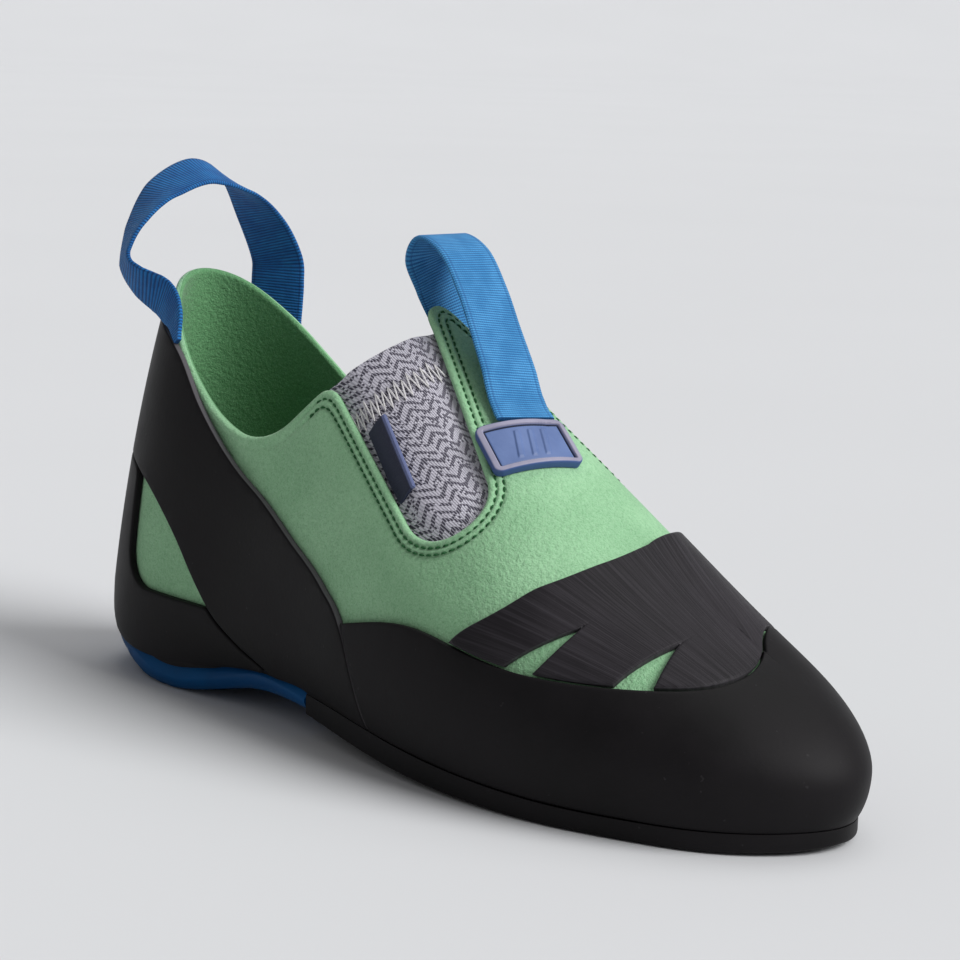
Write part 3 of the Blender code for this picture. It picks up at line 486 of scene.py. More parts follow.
def last_surface():
    side = (len(SECTIONS) - 1) * ROWS_PER_SECTION
    around = 2 * side
    profiles, rand_z = last_profiles(np.arange(around) / ROWS_PER_SECTION)
    up = profiles.shape[1]
    index = np.zeros((around, up), int)
    points, lift, rand = [], [], []
    for k in range(around):
        twin = (around - k) % around
        away = np.linalg.norm(profiles[k] - profiles[k, BOTTOM_STEPS], axis=1)
        away[:BOTTOM_STEPS] *= -1.0
        for j in range(up):
            if j in (0, up - 1) and twin < k:
                index[k, j] = index[twin, j]
                continue
            index[k, j] = len(points)
            points.append(profiles[k, j])
            lift.append(away[j])
            rand.append(rand_z[k] - profiles[k, j, 2])
    faces = []
    for k in range(around):
        n = (k + 1) % around
        for j in range(up - 1):
            corners = [index[k, j], index[n, j], index[n, j + 1], index[k, j + 1]]
            face = [int(v) for v in dict.fromkeys(corners)]
            if len(face) > 2:
                faces.append(face)
    points = np.array(points)
    normals = surface_normals(points, faces)
    return Sheet(np.column_stack([points, normals, lift, rand]), faces)


# Measures that the cuts share


def room_below(curve, height, points):
    share = points[:, 0] / LENGTH
    low = curve_through(curve, share - 0.002) * height
    high = curve_through(curve, share + 0.002) * height
    slope = (high - low) / (0.004 * LENGTH)
    return ((low + high) / 2 - points[:, 2]) / np.hypot(1.0, slope)


def room_ahead(curve, points):
    share = points[:, 1] / BALL_WIDTH
    low = curve_through(curve, share - 0.005) * LENGTH
    high = curve_through(curve, share + 0.005) * LENGTH
    slope = (high - low) / (0.01 * BALL_WIDTH)
    return (points[:, 0] - (low + high) / 2) / np.hypot(1.0, slope)


def collar_room(points):
    return room_below(COLLAR, COLLAR_HEIGHT, points)


def slot_ends(side):
    return [
        np.array((x * LENGTH, side * y * BALL_WIDTH + SLOT_SHIFT, z * COLLAR_HEIGHT))
        for x, y, z in (SLOT_TOP, SLOT_FOOT)
    ]


def slot_place(points, side):
    top, foot = slot_ends(side)
    line = foot - top
    share = (points - top) @ line / (line @ line)
    nearest = top + line * np.minimum(share, 1.0)[:, None]
    away = np.linalg.norm(points - nearest, axis=1)
    return share, away, side * (points[:, 1] - nearest[:, 1])


def slot_room(points, side):
    share, away, _ = slot_place(points, side)
    half = SLOT_TOP_HALF + (SLOT_FOOT_HALF - SLOT_TOP_HALF) * np.clip(share, 0.0, 1.0)
    return away - half


def slots_room(points):
    return np.minimum(slot_room(points, -1), slot_room(points, 1))


def opening_room(points):
    """How far inside the upper's edge: the collar and both slots, their corners rounded."""
    a, b = collar_room(points), slots_room(points)
    share = np.clip(0.5 + 0.5 * (b - a) / CORNER_BLEND, 0.0, 1.0)
    return b * (1 - share) + a * share - CORNER_BLEND * share * (1 - share)


def tongue_room(points):
    found = [TONGUE_LAP - slot_room(points, side) for side in (-1, 1)]
    for side in (-1, 1):
        share, _, offset = slot_place(points, side)
        top, foot = slot_ends(side)
        reach = np.linalg.norm(foot - top)
        between = np.minimum((SLOT_END - share) * reach, points[:, 2] - TONGUE_FOOT * COLLAR_HEIGHT)
        near = side * (points[:, 1] - SLOT_SHIFT) >= 0.0
        found.append(np.where(near & (offset < 0.0), between, -1.0))
    return np.max(found, axis=0)


def tongue_top_room(points):
    (x0, z0), (x1, z1) = TONGUE_TOP
    x0, x1, z0, z1 = x0 * LENGTH, x1 * LENGTH, z0 * COLLAR_HEIGHT, z1 * COLLAR_HEIGHT
    slope = (z1 - z0) / (x1 - x0)
    return (z0 + slope * (points[:, 0] - x0) - points[:, 2]) / math.hypot(1.0, slope)


def strap_front_room(points):
    medial = np.clip(points[:, 1] / (0.2 * BALL_WIDTH), 0.0, 1.0)
    return room_below(STRAP_FRONT, COLLAR_HEIGHT, points) - MEDIAL_DROP * medial


def strap_rear_room(points):
    return -room_below(STRAP_REAR, INSTEP_HEIGHT, points)


def heel_sole_room(points):
    return room_below(HEEL_SOLE_TOP, INSTEP_HEIGHT, points)


def above_sole_room(points):
    return np.maximum(-heel_sole_room(points), points[:, 0] - ARCH_JOINT * LENGTH)


def window_depth(points):
    along = points[:, 0] - WINDOW_LEFT * LENGTH
    up = points[:, 2] - WINDOW_FOOT * INSTEP_HEIGHT
    corner = WINDOW_RADIUS - np.hypot(WINDOW_RADIUS - along, WINDOW_RADIUS - up)
    inside = (along < WINDOW_RADIUS) & (up < WINDOW_RADIUS)
    return np.where(inside, corner, np.minimum(along, up))


def patch_rear_room(points):
    return room_ahead(PATCH_REAR, points)


def cap_room(points):
    return room_ahead(CAP_REAR, points)


def rand_room(sheet):
    return np.maximum(sheet.rand, cap_room(sheet.points))


def slit_room(points, slit):
    corners = [np.array((x * LENGTH, z * INSTEP_HEIGHT)) for x, z in slit]
    flat = points[:, [0, 2]]
    out = []
    for a, b, bulge in zip(corners, corners[1:] + corners[:1], (0.0, SLIT_BULGE, SLIT_BULGE)):
        line = b - a
        share = np.clip((flat - a) @ line / (line @ line), 0.0, 1.0)
        away = (line[1] * (flat[:, 0] - a[0]) - line[0] * (flat[:, 1] - a[1])) / math.hypot(*line)
        out.append(away - bulge * 4.0 * share * (1.0 - share))
    out[0] = out[0] - SLIT_REACH
    return np.where(points[:, 1] > 0.0, BALL_WIDTH, np.max(out, axis=0))


def badge_middle():
    x, y, z = BADGE_CENTRE
    return np.array((x * LENGTH, y * BALL_WIDTH, z * COLLAR_HEIGHT))


def badge_axes():
    """Directions down the badge and across it, turned a little on the instep."""
    down = np.array((math.cos(BADGE_SLOPE), 0.0, -math.sin(BADGE_SLOPE)))
    side = np.array((0.0, 1.0, 0.0))
    turn_sin, turn_cos = math.sin(BADGE_TURN), math.cos(BADGE_TURN)
    return down * turn_cos - side * turn_sin, down * turn_sin + side * turn_cos


def badge_place(points):
    away = points - badge_middle()
    down, side = badge_axes()
    return away @ down, away @ side, np.linalg.norm(away, axis=1)


def badge_depth(points):
    along, across, away = badge_place(points)
    u = np.abs(along) - BADGE_HALF[0] + BADGE_RADIUS
    v = np.abs(across) - BADGE_HALF[1] + BADGE_RADIUS
    corner = np.hypot(np.maximum(u, 0.0), np.maximum(v, 0.0))
    depth = BADGE_RADIUS - corner - np.minimum(np.maximum(u, v), 0.0)
    return np.where(away > 4.0 * BADGE_HALF[1], -BADGE_HALF[1], depth)


def label_place(points):
    (x0, z0), (x1, z1) = LABEL_ENDS
    top = np.array((x0 * LENGTH, z0 * COLLAR_HEIGHT))
    line = np.array((x1 * LENGTH, z1 * COLLAR_HEIGHT)) - top
    length = math.hypot(*line)
    away = points[:, [0, 2]] - top
    return away @ line / length, (away[:, 1] * line[0] - away[:, 0] * line[1]) / length, length


def label_depth(points):
    along, across, length = label_place(points)
    depth = np.min([along, length - along, LABEL_HALF - np.abs(across)], axis=0)
    return np.where(points[:, 1] > 0.0, -LABEL_HALF, depth)


# Meshes


def raised(points):
    """Places on the last after it is turned to stand on its sole, in the frame of the part."""
    points = np.atleast_2d(points)
    x, z = points[:, 0] - PIVOT_X, points[:, 2]
    turn_sin, turn_cos = math.sin(PITCH), math.cos(PITCH)
    x, z = PIVOT_X + x * turn_cos + z * turn_sin, z * turn_cos - x * turn_sin
    return np.stack([x - ORIGIN_X, points[:, 1] - ORIGIN_Y, z], 1)


def new_object(name, points, faces, material, values=None, sharp=42):
    mesh = bpy.data.meshes.new(name)
    mesh.from_pydata([tuple(p) for p in points], [], faces)
    for key, column in (values or {}).items():
        layer = mesh.attributes.new(key, "FLOAT", "POINT")
        layer.data.foreach_set("value", np.ascontiguousarray(column, np.float32))
    mesh.materials.append(material)
    mesh.shade_smooth()
    mesh.set_sharp_from_angle(angle=math.radians(sharp))
    obj = bpy.data.objects.new(name, mesh)
    bpy.context.scene.collection.objects.link(obj)
    return obj


def between(name, inner, outer, faces, material, values=None):
    """The closed solid between two matching sets of points with the same faces."""
    count = len(outer)
    solid = list(faces) + [[v + count for v in reversed(face)] for face in faces]
    directed = {(a, b) for f in faces for a, b in zip(f, f[1:] + f[:1])}
    for a, b in sorted(directed):
        if (b, a) not in directed:
            solid.append([b, a, a + count, b + count])
    both = {"inside": np.repeat([0.0, 1.0], count)}
    for key, column in (values or {}).items():
        both[key] = np.concatenate([column, column])
    return new_object(name, np.vstack([outer, inner]), solid, material, both)


def layer(name, sheet, base, top, material, values=None):
    """The closed solid between two heights over a sheet of the last."""
    points, normals = sheet.points, sheet.normals
    inner, outer = (raised(points + normals * np.reshape(level, (-1, 1))) for level in (base, top))
    return between(name, inner, outer, sheet.faces, material, values)


def drop(room, radius=ROUNDING):
    """How far a rounded edge lies below the face, a distance `room` in from the edge."""
    inside = np.clip(radius - room, 0.0, radius)
    return radius - np.sqrt(np.maximum(radius**2 - inside**2, 0.0))


ROUND_LEVELS = (0.06 * ROUNDING, 0.25 * ROUNDING, 0.55 * ROUNDING, ROUNDING)


def pad_under(sheet):
    """How much thicker than the other rubber the heel sole is under each point."""
    start, end = PAD_FADE
    return HEEL_PAD + (ARCH_PAD - HEEL_PAD) * smooth_step(start, end, sheet.points[:, 0] / LENGTH)


def flush_relief(sheet):
    """Extra thickness that brings the heel rubber flush with the heel sole."""
    start, end = STRAP_FADE
    fade = 1.0 - smooth_step(start, end, sheet.points[:, 0] / LENGTH)
    return pad_under(sheet) * fade * np.maximum(-sheet.normals[:, 2], 0.0) ** 2


def rubber_piece(name, sheet, room, material, relief=None):
    """Rubber on the upper with a rounded rim, `room` from the rim's edge."""
    sheet = sheet.scored(room, ROUND_LEVELS)
    edge = room(sheet)
    turn = np.arctan2(sheet.points[:, 2] - STRAND_AXIS, sheet.points[:, 1])
    top = GAP + RUBBER - drop(edge)
    if relief is not None:
        top = top + relief(sheet)
    values = {"edge": edge * MM, "strand": turn * STRAND_RADIUS * MM}
    return layer(name, sheet, GAP, top, material, values)


def contour(sheet, measure, offset):
    """Open lines on a sheet where a measure is 0, as arrays of point and normal."""
    value = measure.tolist()
    nodes, links = {}, {}
    places = []

    def node(a, b):
        key = (min(a, b), max(a, b))
        if key not in nodes:
            low, high = key
            share = value[low] / (value[low] - value[high])
            place = sheet.data[low, :6] + (sheet.data[high, :6] - sheet.data[low, :6]) * share
            nodes[key] = len(places)
            places.append(place)
        return nodes[key]

    for face in sheet.faces:
        found = []
        for a, b in zip(face, face[1:] + face[:1]):
            if (value[a] < 0.0) != (value[b] < 0.0):
                found.append(node(a, b))
        if len(found) == 2:
            links.setdefault(found[0], []).append(found[1])
            links.setdefault(found[1], []).append(found[0])
    lines, seen = [], set()
    ends = [n for n in links if len(links[n]) == 1] + list(links)
    for start in ends:
        if start in seen:
            continue
        line, here = [start], start
        seen.add(start)
        while True:
            following = [n for n in links[here] if n not in seen]
            if not following:
                break
            here = following[0]
            seen.add(here)
            line.append(here)
        if len(line) > 6:
            data = np.array([places[n] for n in line])
            normal = data[:, 3:6] / np.linalg.norm(data[:, 3:6], axis=1)[:, None]
            lines.append((data[:, :3] + normal * offset, normal))
    return lines


def resampled(points, normals, step):
    """The line read at even distances."""
    away = np.concatenate([[0.0], np.cumsum(np.linalg.norm(np.diff(points, axis=0), axis=1))])
    at = np.arange(0.0, away[-1], step)
    place = np.stack([np.interp(at, away, points[:, i]) for i in range(3)], 1)
    normal = np.stack([np.interp(at, away, normals[:, i]) for i in range(3)], 1)
    return place, normal / np.linalg.norm(normal, axis=1)[:, None]


def stitches(name, lines, material):
    """Short rounded threads laid end to end along lines."""
    points, faces = [], []
    per = STITCH_RINGS + 1
    step = (STITCH_LENGTH + STITCH_GAP) / per
    for line, normals in lines:
        place, normal = resampled(line, normals, step)
        for start in range(0, len(place) - per, per):
            rings = []
            for i in range(STITCH_RINGS):
                centre, out = place[start + i], normal[start + i]
                along = place[start + i + 1] - centre
                along = along / np.linalg.norm(along)
                across = np.cross(out, along)
                share = i / (STITCH_RINGS - 1)
                lift = THREAD * (1.3 * math.sin(math.pi * share) - 0.7)
                radius = THREAD * (0.45 + 0.75 * math.sin(math.pi * share) ** 0.5)
                ring = []
                for corner in range(STITCH_SIDES):
                    angle = math.tau * corner / STITCH_SIDES
                    turn = across * math.cos(angle) + out * math.sin(angle)
                    ring.append(len(points))
                    points.append(centre + out * lift + turn * radius)
                rings.append(ring)
            faces.append(list(reversed(rings[0])))
            for a, b in zip(rings, rings[1:]):
                for c in range(STITCH_SIDES):
                    d = (c + 1) % STITCH_SIDES
                    faces.append([a[c], a[d], b[d], b[c]])
            faces.append(rings[-1])
    return new_object(name, raised(np.array(points)), faces, material, sharp=70)


def tube(name, path, radius, material, sides=5):
    """A thread along a path of raised points."""
    points, faces = [], []
    path = np.array(path)
    along = np.gradient(path, axis=0)
    along /= np.linalg.norm(along, axis=1)[:, None]
    across = np.cross(along[0], (0.3, 0.2, 0.9))
    for i, centre in enumerate(path):
        across = across - along[i] * (across @ along[i])
        across /= np.linalg.norm(across)
        other = np.cross(along[i], across)
        for corner in range(sides):
            angle = math.tau * corner / sides
            points.append(centre + (across * math.cos(angle) + other * math.sin(angle)) * radius)
    for i in range(len(path) - 1):
        for c in range(sides):
            d = (c + 1) % sides
            faces.append([i * sides + c, i * sides + d, (i + 1) * sides + d, (i + 1) * sides + c])
    faces.append(list(reversed(range(sides))))
    faces.append(list(range((len(path) - 1) * sides, len(path) * sides)))
    return new_object(name, points, faces, material, sharp=70)


# Pieces


def crease_relief(points):
    """Soft troughs with low ridges beside them."""
    relief = np.zeros(len(points))
    flat = points[:, [0, 2]]
    for (x0, z0), (x1, z1), side, depth, width in CREASES:
        a = np.array((x0 * LENGTH, z0 * COLLAR_HEIGHT))
        b = np.array((x1 * LENGTH, z1 * COLLAR_HEIGHT))
        share = (flat - a) @ (b - a) / ((b - a) @ (b - a))
        near = a + (b - a) * np.clip(share, 0.0, 1.0)[:, None]
        away = np.linalg.norm(flat - near, axis=1) / width
        fade = smooth_step(-0.35, 0.25, share) * smooth_step(1.35, 0.75, share)
        wave = -np.exp(-(away**2)) + 0.45 * np.exp(-((away - 1.7) ** 2) / 0.5)
        relief += depth * wave * fade * (side * points[:, 1] > 0.0)
    return relief


def upper_piece(last, suede):
    sheet = last.kept(last.lift).trimmed(opening_room)
    levels = [0.00012, 0.0004, 0.0008, 0.0013]
    for row in STITCH_ROWS:
        levels += [row + shift for shift in (-0.0006, -0.0003, 0.0, 0.0003, 0.0006)]
    sheet = sheet.scored(lambda s: opening_room(s.points), levels)
    points = sheet.points
    edge = opening_room(points)
    seam = smooth_step(0.016, 0.012, slots_room(points))
    relief = 0.00025 * smooth_step(STITCH_ROWS[1] + 0.0005, STITCH_ROWS[1] - 0.0008, edge)
    for row in STITCH_ROWS:
        relief = relief - 0.00050 * hill(edge, row, 0.00042)
    roll = 0.00030 * hill(edge, 0.0010, 0.0009) - 0.00025 * hill(edge, 0.0030, 0.0006)
    top = relief * seam + roll * (1.0 - seam) + crease_relief(points) - drop(edge, COLLAR_ROUNDING)
    far = smooth_step(0.0, 0.010, points[:, 1]) * smooth_step(0.035, 0.050, points[:, 0])
    groove = 0.00060 * hill(edge, STITCH_ROWS[1], 0.0007) * far
    base = -WALL + drop(edge, COLLAR_ROUNDING) + groove
    return layer("upper_suede", sheet, base, top, suede), sheet


def upper_stitches(sheet, thread):
    lines = []
    for row in STITCH_ROWS:
        for line, normal in contour(sheet, opening_room(sheet.points) - row, -0.0001):
            near = slots_room(line) < row + 0.009
            keep = near & (line[:, 2] > 0.3 * COLLAR_HEIGHT)
            start = None
            for i in range(len(line) + 1):
                on = i < len(line) and keep[i]
                if on and start is None:
                    start = i
                if not on and start is not None:
                    if i - start > 8:
                        lines.append((line[start:i], normal[start:i]))
                    start = None
    return stitches("upper_stitches", lines, thread)


def tongue_piece(last, knit):
    sheet = last.trimmed(tongue_room).trimmed(tongue_top_room)
    sheet = sheet.scored(
        lambda s: tongue_top_room(s.points), (0.0002, 0.0005, 0.0009, 0.0024, 0.0030)
    )
    points = sheet.points
    rim = drop(tongue_top_room(points))
    share, _, _ = slot_place(points, -1)
    top_end, foot_end = slot_ends(-1)
    reach = np.linalg.norm(foot_end - top_end)
    values = {"wale": points[:, 1] * MM, "course": share * reach * MM}
    base = -WALL - GAP - KNIT + rim
    return layer("tongue_knit", sheet, base, knit_level(points) - rim, knit, values)


def knit_level(points):
    """Height of the knit's outer face, which fills the slots a little."""
    slot = np.maximum(-slots_room(points), 0.0)
    return -WALL - GAP + KNIT_SWELL * smooth_step(0.0005, 0.0060, slot)


def zigzag_piece(last, thread):
    skin = BVHTree.FromPolygons([Vector(p) for p in last.points], last.faces)
    stops = np.array(ZIGZAG)
    away = np.concatenate([[0.0], np.cumsum(np.linalg.norm(np.diff(stops, axis=0), axis=1))])
    count = int(away[-1] / ZIGZAG_PITCH) * 2

    def read(at):
        return np.array([np.interp(at, away, stops[:, k]) for k in range(3)])

    path = []
    for i in range(count + 1):
        at = away[-1] * i / count
        centre = read(at)
        place, normal, _, _ = skin.find_nearest(Vector(centre))
        along = read(at + 0.001) - read(at - 0.001)
        along /= np.linalg.norm(along)
        across = np.cross(np.array(normal), along)
        side = 1.0 if i % 2 else -1.0
        target = np.array(place) + across * ZIGZAG_HALF * side * (1.0 + 0.18 * math.sin(i * 1.9))
        place, normal, _, _ = skin.find_nearest(Vector(target))
        normal = np.array(normal)
        level = knit_level(np.array([place]))[0] + ZIGZAG_THREAD
        path.append((np.array(place), normal, level))
    dense = []
    for (a, na, la), (b, nb, lb) in zip(path, path[1:]):
        for step in range(5):
            share = step / 5
            bow = 0.00025 * math.sin(math.pi * share)
            lift = la + (lb - la) * share + bow
            dense.append(a + (b - a) * share + (na + (nb - na) * share) * lift)
    return tube("zigzag_seam", raised(np.array(dense)), ZIGZAG_THREAD, thread)


def strap_piece(last, rubber):
    sheet = last.kept(last.lift - RUBBER_CLEAR)
    for room in (strap_front_room, strap_rear_room, above_sole_room):
        sheet = sheet.kept(room(sheet.points) - SEAM_GAP / 2)

    def room(s):
        front, rear = strap_front_room(s.points), strap_rear_room(s.points)
        return np.minimum(np.minimum(front, rear), above_sole_room(s.points)) - SEAM_GAP / 2

    return rubber_piece("strap_rubber", sheet, room, rubber, flush_relief)


def heel_cup_piece(last, rubber):
    sheet = last.kept(last.lift - RUBBER_CLEAR)
    sheet = sheet.kept(-strap_rear_room(sheet.points) - SEAM_GAP / 2)
    sheet = sheet.kept(-window_depth(sheet.points))
    sheet = sheet.kept(-heel_sole_room(sheet.points) - SEAM_GAP / 2)

    def room(s):
        strap, sole = -strap_rear_room(s.points), -heel_sole_room(s.points)
        window = -window_depth(s.points)
        return np.minimum(np.minimum(strap, sole) - SEAM_GAP / 2, window)

    return rubber_piece("heel_cup_rubber", sheet, room, rubber, flush_relief)


def rand_piece(last, rubber):
    sheet = last.kept(last.lift - RUBBER_CLEAR)
    sheet = sheet.kept(-strap_front_room(sheet.points) - SEAM_GAP / 2)
    sheet = sheet.kept(rand_room(sheet) - SEAM_GAP / 2)

    def room(s):
        strap = -strap_front_room(s.points)
        foot = s.lift - RUBBER_CLEAR + SEAM_GAP / 2
        return np.minimum(np.minimum(strap, rand_room(s)), foot) - SEAM_GAP / 2

    return rubber_piece("rand_rubber", sheet, room, rubber)


def patch_piece(last, rubber):
    sheet = last.trimmed(patch_rear_room)
    sheet = sheet.kept(-rand_room(sheet) - SEAM_GAP / 2)
    for slit in SLITS:
        sheet = sheet.refined(0.004 - slit_room(sheet.points, slit))
        sheet = sheet.refined(0.0015 - slit_room(sheet.points, slit))
        sheet = sheet.trimmed(lambda p: slit_room(p, slit))

    def room(s):
        slits = np.minimum(slit_room(s.points, SLITS[0]), slit_room(s.points, SLITS[1]))
        rear = np.minimum(patch_rear_room(s.points), slits)
        return np.minimum(rear, -rand_room(s) - SEAM_GAP / 2)

    return rubber_piece("toe_patch_rubber", sheet, room, rubber)


def heel_sole_piece(last, rubber):
    sheet = last.kept(heel_sole_room(last.points) - SEAM_GAP / 2)
    sheet = sheet.trimmed(lambda p: ARCH_JOINT * LENGTH - p[:, 0])
    sheet = sheet.scored(lambda s: heel_sole_room(s.points) - SEAM_GAP / 2, ROUND_LEVELS)
    points, normals = sheet.points, sheet.normals
    down = np.maximum(-normals[:, 2], 0.0)
    edge = heel_sole_room(points) - SEAM_GAP / 2
    thick = RUBBER + pad_under(sheet) * down**2 - drop(edge)
    skin = raised(points + normals * GAP)
    foot = raised(points + normals * (GAP + thick)[:, None])
    low = foot[:, 2] < 0.0
    share = skin[low, 2] / (skin[low, 2] - foot[low, 2])
    foot[low] = skin[low] + (foot[low] - skin[low]) * share[:, None]
    foot[low, 2] = 0.0
    return between("heel_sole_rubber", skin, foot, sheet.faces, rubber)


def insole_piece(last, board):
    sheet = last.kept(-INSOLE_INSET - last.lift)
    return layer("insole_board", sheet, -INSOLE, 0.0, board)


def outsole_piece(rubber):
    """The plate under the forefoot, with a rounded lower edge."""
    toe = len(SECTIONS) - 1
    start = SECTION_NAMES.index("waist")
    first = start + SOLE_START
    later = np.arange(int(first * SOLE_ROWS) + 1, toe * SOLE_ROWS + 1) / SOLE_ROWS
    stations = np.concatenate([[first], later])
    lifts = [(start + i, lift) for i, lift in enumerate(TREAD_LIFT)]
    tread = np.maximum(curve_through(lifts, stations), 0.0) * INSTEP_HEIGHT
    rims = []
    for sign in (1, -1):
        profiles, _ = last_profiles((sign * stations) % (2 * toe))
        feather, spine = raised(profiles[:, BOTTOM_STEPS]), raised(profiles[:, 0])
        outward = feather - spine
        outward[:, 2] = 0.0
        outward /= np.linalg.norm(outward, axis=1)[:, None]
        rims.append((feather + outward * SOLE_OVERHANG, outward, feather[:, 2], spine[:, 2]))
    points, grid = [], []
    for k in range(len(stations)):
        left, right = ([part[k] for part in rim] for rim in rims)
        single = np.linalg.norm(left[0] - right[0]) < 1e-6
        bevel_left = left[0] - left[1] * SOLE_BEVEL
        bevel_right = right[0] - right[1] * SOLE_BEVEL
        roof, under = [], []
        for j in range(SOLE_COLUMNS + 1):
            share = 0.0 if single else j / SOLE_COLUMNS
            flat = left[0] + (right[0] - left[0]) * share
            sag = 1.0 - (2 * share - 1) ** 4
            roof.append((flat[0], flat[1], left[2] + (left[3] - left[2]) * sag - GAP))
            flat = bevel_left + (bevel_right - bevel_left) * share
            under.append((flat[0], flat[1], tread[k]))
        sides = []
        for rim in (left, right):
            side = []
            for turn in (0.0, 0.33, 0.66):
                angle = math.pi / 2 * turn
                inward = SOLE_BEVEL * (1.0 - math.cos(angle))
                level = tread[k] + SOLE_BEVEL * (1.0 - math.sin(angle))
                place = rim[0] - rim[1] * inward
                side.append((place[0], place[1], level))
            sides.append(side)
        ring = roof + sides[1] + list(reversed(under)) + list(reversed(sides[0]))
        grid.append([len(points) + i for i in range(len(ring))])
        points.extend(ring)
    faces = []
    for a, b in zip(grid, grid[1:]):
        for i in range(len(a)):
            n = (i + 1) % len(a)
            faces.append([a[i], b[i], b[n], a[n]])
    faces.append(list(grid[0]))
    obj = new_object("outsole_rubber", points, faces, rubber)
    tidy_mesh(obj)
    return obj


def tidy_mesh(obj):
    """Weld doubled points, drop faces with no area and turn the faces outward."""
    mesh = bmesh.new()
    mesh.from_mesh(obj.data)
    bmesh.ops.remove_doubles(mesh, verts=mesh.verts, dist=1e-6)
    bmesh.ops.dissolve_degenerate(mesh, edges=mesh.edges, dist=1e-6)
    bmesh.ops.recalc_face_normals(mesh, faces=mesh.faces)
    mesh.to_mesh(obj.data)
    mesh.free()


def badge_piece(last, moulded):
    sheet = last
    for band in (0.006, 0.003, 0.0012):
        sheet = sheet.refined(badge_depth(sheet.points) + band)
    sheet = sheet.trimmed(badge_depth)
    levels = (0.00015, 0.0004, 0.0008, 0.0013, 0.0016, 0.0019, 0.0022)
    sheet = sheet.scored(lambda s: badge_depth(s.points), levels)
    points = sheet.points
    depth = badge_depth(points)
    rim = smooth_step(0.0019, 0.0014, depth)
    groove = hill(depth, 0.0018, 0.0002)
    top = GAP + BADGE - 0.0007 - drop(depth) + 0.0007 * rim - 0.0003 * groove
    along, across, _ = badge_place(points)
    field = smooth_step(0.0030, 0.0036, depth)
    ribs = np.zeros(len(points))
    for shift in (-RIB_SPACING, 0.0, RIB_SPACING):
        ribs = np.maximum(ribs, smooth_step(0.0009, 0.0005, np.abs(across - shift + along * 0.25)))
    top = top + 0.00035 * ribs * field
    return layer("badge_moulded", sheet, GAP, top, moulded, {"edge": depth * MM})


def label_piece(last, cloth):
    sheet = last
    for band in (0.004, 0.0015):
        sheet = sheet.refined(label_depth(sheet.points) + band)
    sheet = sheet.trimmed(label_depth).trimmed(lambda p: -slot_room(p, -1) - 2 * GAP)
    sheet = sheet.scored(lambda s: label_depth(s.points), (0.0001, 0.0003, 0.0006))
    points = sheet.points
    depth = label_depth(points)
    along, across, _ = label_place(points)
    # The folded edge stands a little off the knit
    stand = LABEL_STAND * smooth_step(-0.0020, 0.0032, across)
    level = knit_level(points)
    top = level + LABEL + stand - drop(depth, 0.0003)
    base = level + 0.0001 + stand * 0.6
    values = {"across": across * MM, "along": along * MM}
    return layer("label_cloth", sheet, base, top, cloth, values)


def smooth_path(stops, steps):
    """Points along a smooth open curve through the stops, `steps` to a stretch."""
    stops = np.array(stops, float)
    found = []
    for i in range(len(stops) - 1):
        before = stops[i - 1] if i else stops[0] * 2 - stops[1]
        after = stops[i + 2] if i + 2 < len(stops) else stops[-1] * 2 - stops[-2]
        a, b = stops[i], stops[i + 1]
        for step in range(steps):
            t = step / steps
            bend = (before * 2 - a * 5 + b * 4 - after) * t**2
            turn = (a * 3 - b * 3 + after - before) * t**3
            found.append((a * 2 + (b - before) * t + bend + turn) / 2)
    found.append(stops[-1])
    return np.array(found)


def ribbon(name, stops, width, skin, material, steps=14):
    """Webbing along a path, with rounded edges, which rests on the skin where it says so."""
    path = smooth_path([stop[0] for stop in stops], steps)
    directions = smooth_path([stop[1] for stop in stops], steps)
    shares = smooth_path([(stop[2], stop[3]) for stop in stops], steps)
    half_thick = WEBBING / 2
    section = []
    for side, turns in ((-1, (210, 180, 150)), (1, (30, 0, -30))):
        for turn in turns:
            angle = math.radians(turn)
            extra = math.cos(angle) * half_thick - side * half_thick
            section.append((side, extra, math.sin(angle) * half_thick * 1.15))
    top = [(share, 0.0, half_thick) for share in (-0.9, -0.45, 0.0, 0.45, 0.9)]
    foot = [(share, 0.0, -half_thick) for share in (0.9, 0.45, 0.0, -0.45, -0.9)]
    section = section[:3] + top + section[3:] + foot
    points, faces, across_values, along_values = [], [], [], []
    run = 0.0
    for i, centre in enumerate(path):
        along = path[min(i + 1, len(path) - 1)] - path[max(i - 1, 0)]
        along = along / np.linalg.norm(along)
        if i:
            run += np.linalg.norm(path[i] - path[i - 1])
        share, rest = shares[i]
        across = directions[i] - along * (directions[i] @ along)
        across /= np.linalg.norm(across)
        normal = np.cross(across, along)
        if rest > 0.0:
            nearest, out, _, _ = skin.find_nearest(Vector(centre))
            out, nearest = np.array(out), np.array(nearest)
            side = 1.0 if normal @ out > 0.0 else -1.0
            normal = normal + (out * side - normal) * rest
            normal /= np.linalg.norm(normal)
            across = across - normal * (across @ normal)
            across /= np.linalg.norm(across)
            centre = centre + (nearest + out * (GAP * 2.0 + half_thick) - centre) * rest
        half = width * share / 2
        for place, extra, level in section:
            points.append(centre + across * (half * place + extra) + normal * level)
            across_values.append(place * half * MM)
            along_values.append(run * MM)
    count = len(section)
    for i in range(len(path) - 1):
        for c in range(count):
            d = (c + 1) % count
            faces.append([i * count + c, i * count + d, (i + 1) * count + d, (i + 1) * count + c])
    faces.append(list(reversed(range(count))))
    faces.append(list(range((len(path) - 1) * count, len(path) * count)))
    values = {"across": across_values, "along": along_values}
    obj = new_object(name, raised(np.array(points)), faces, material, values)
    tidy_mesh(obj)
    obj.data.shade_smooth()
    obj.data.set_sharp_from_angle(angle=math.radians(60))
    return obj


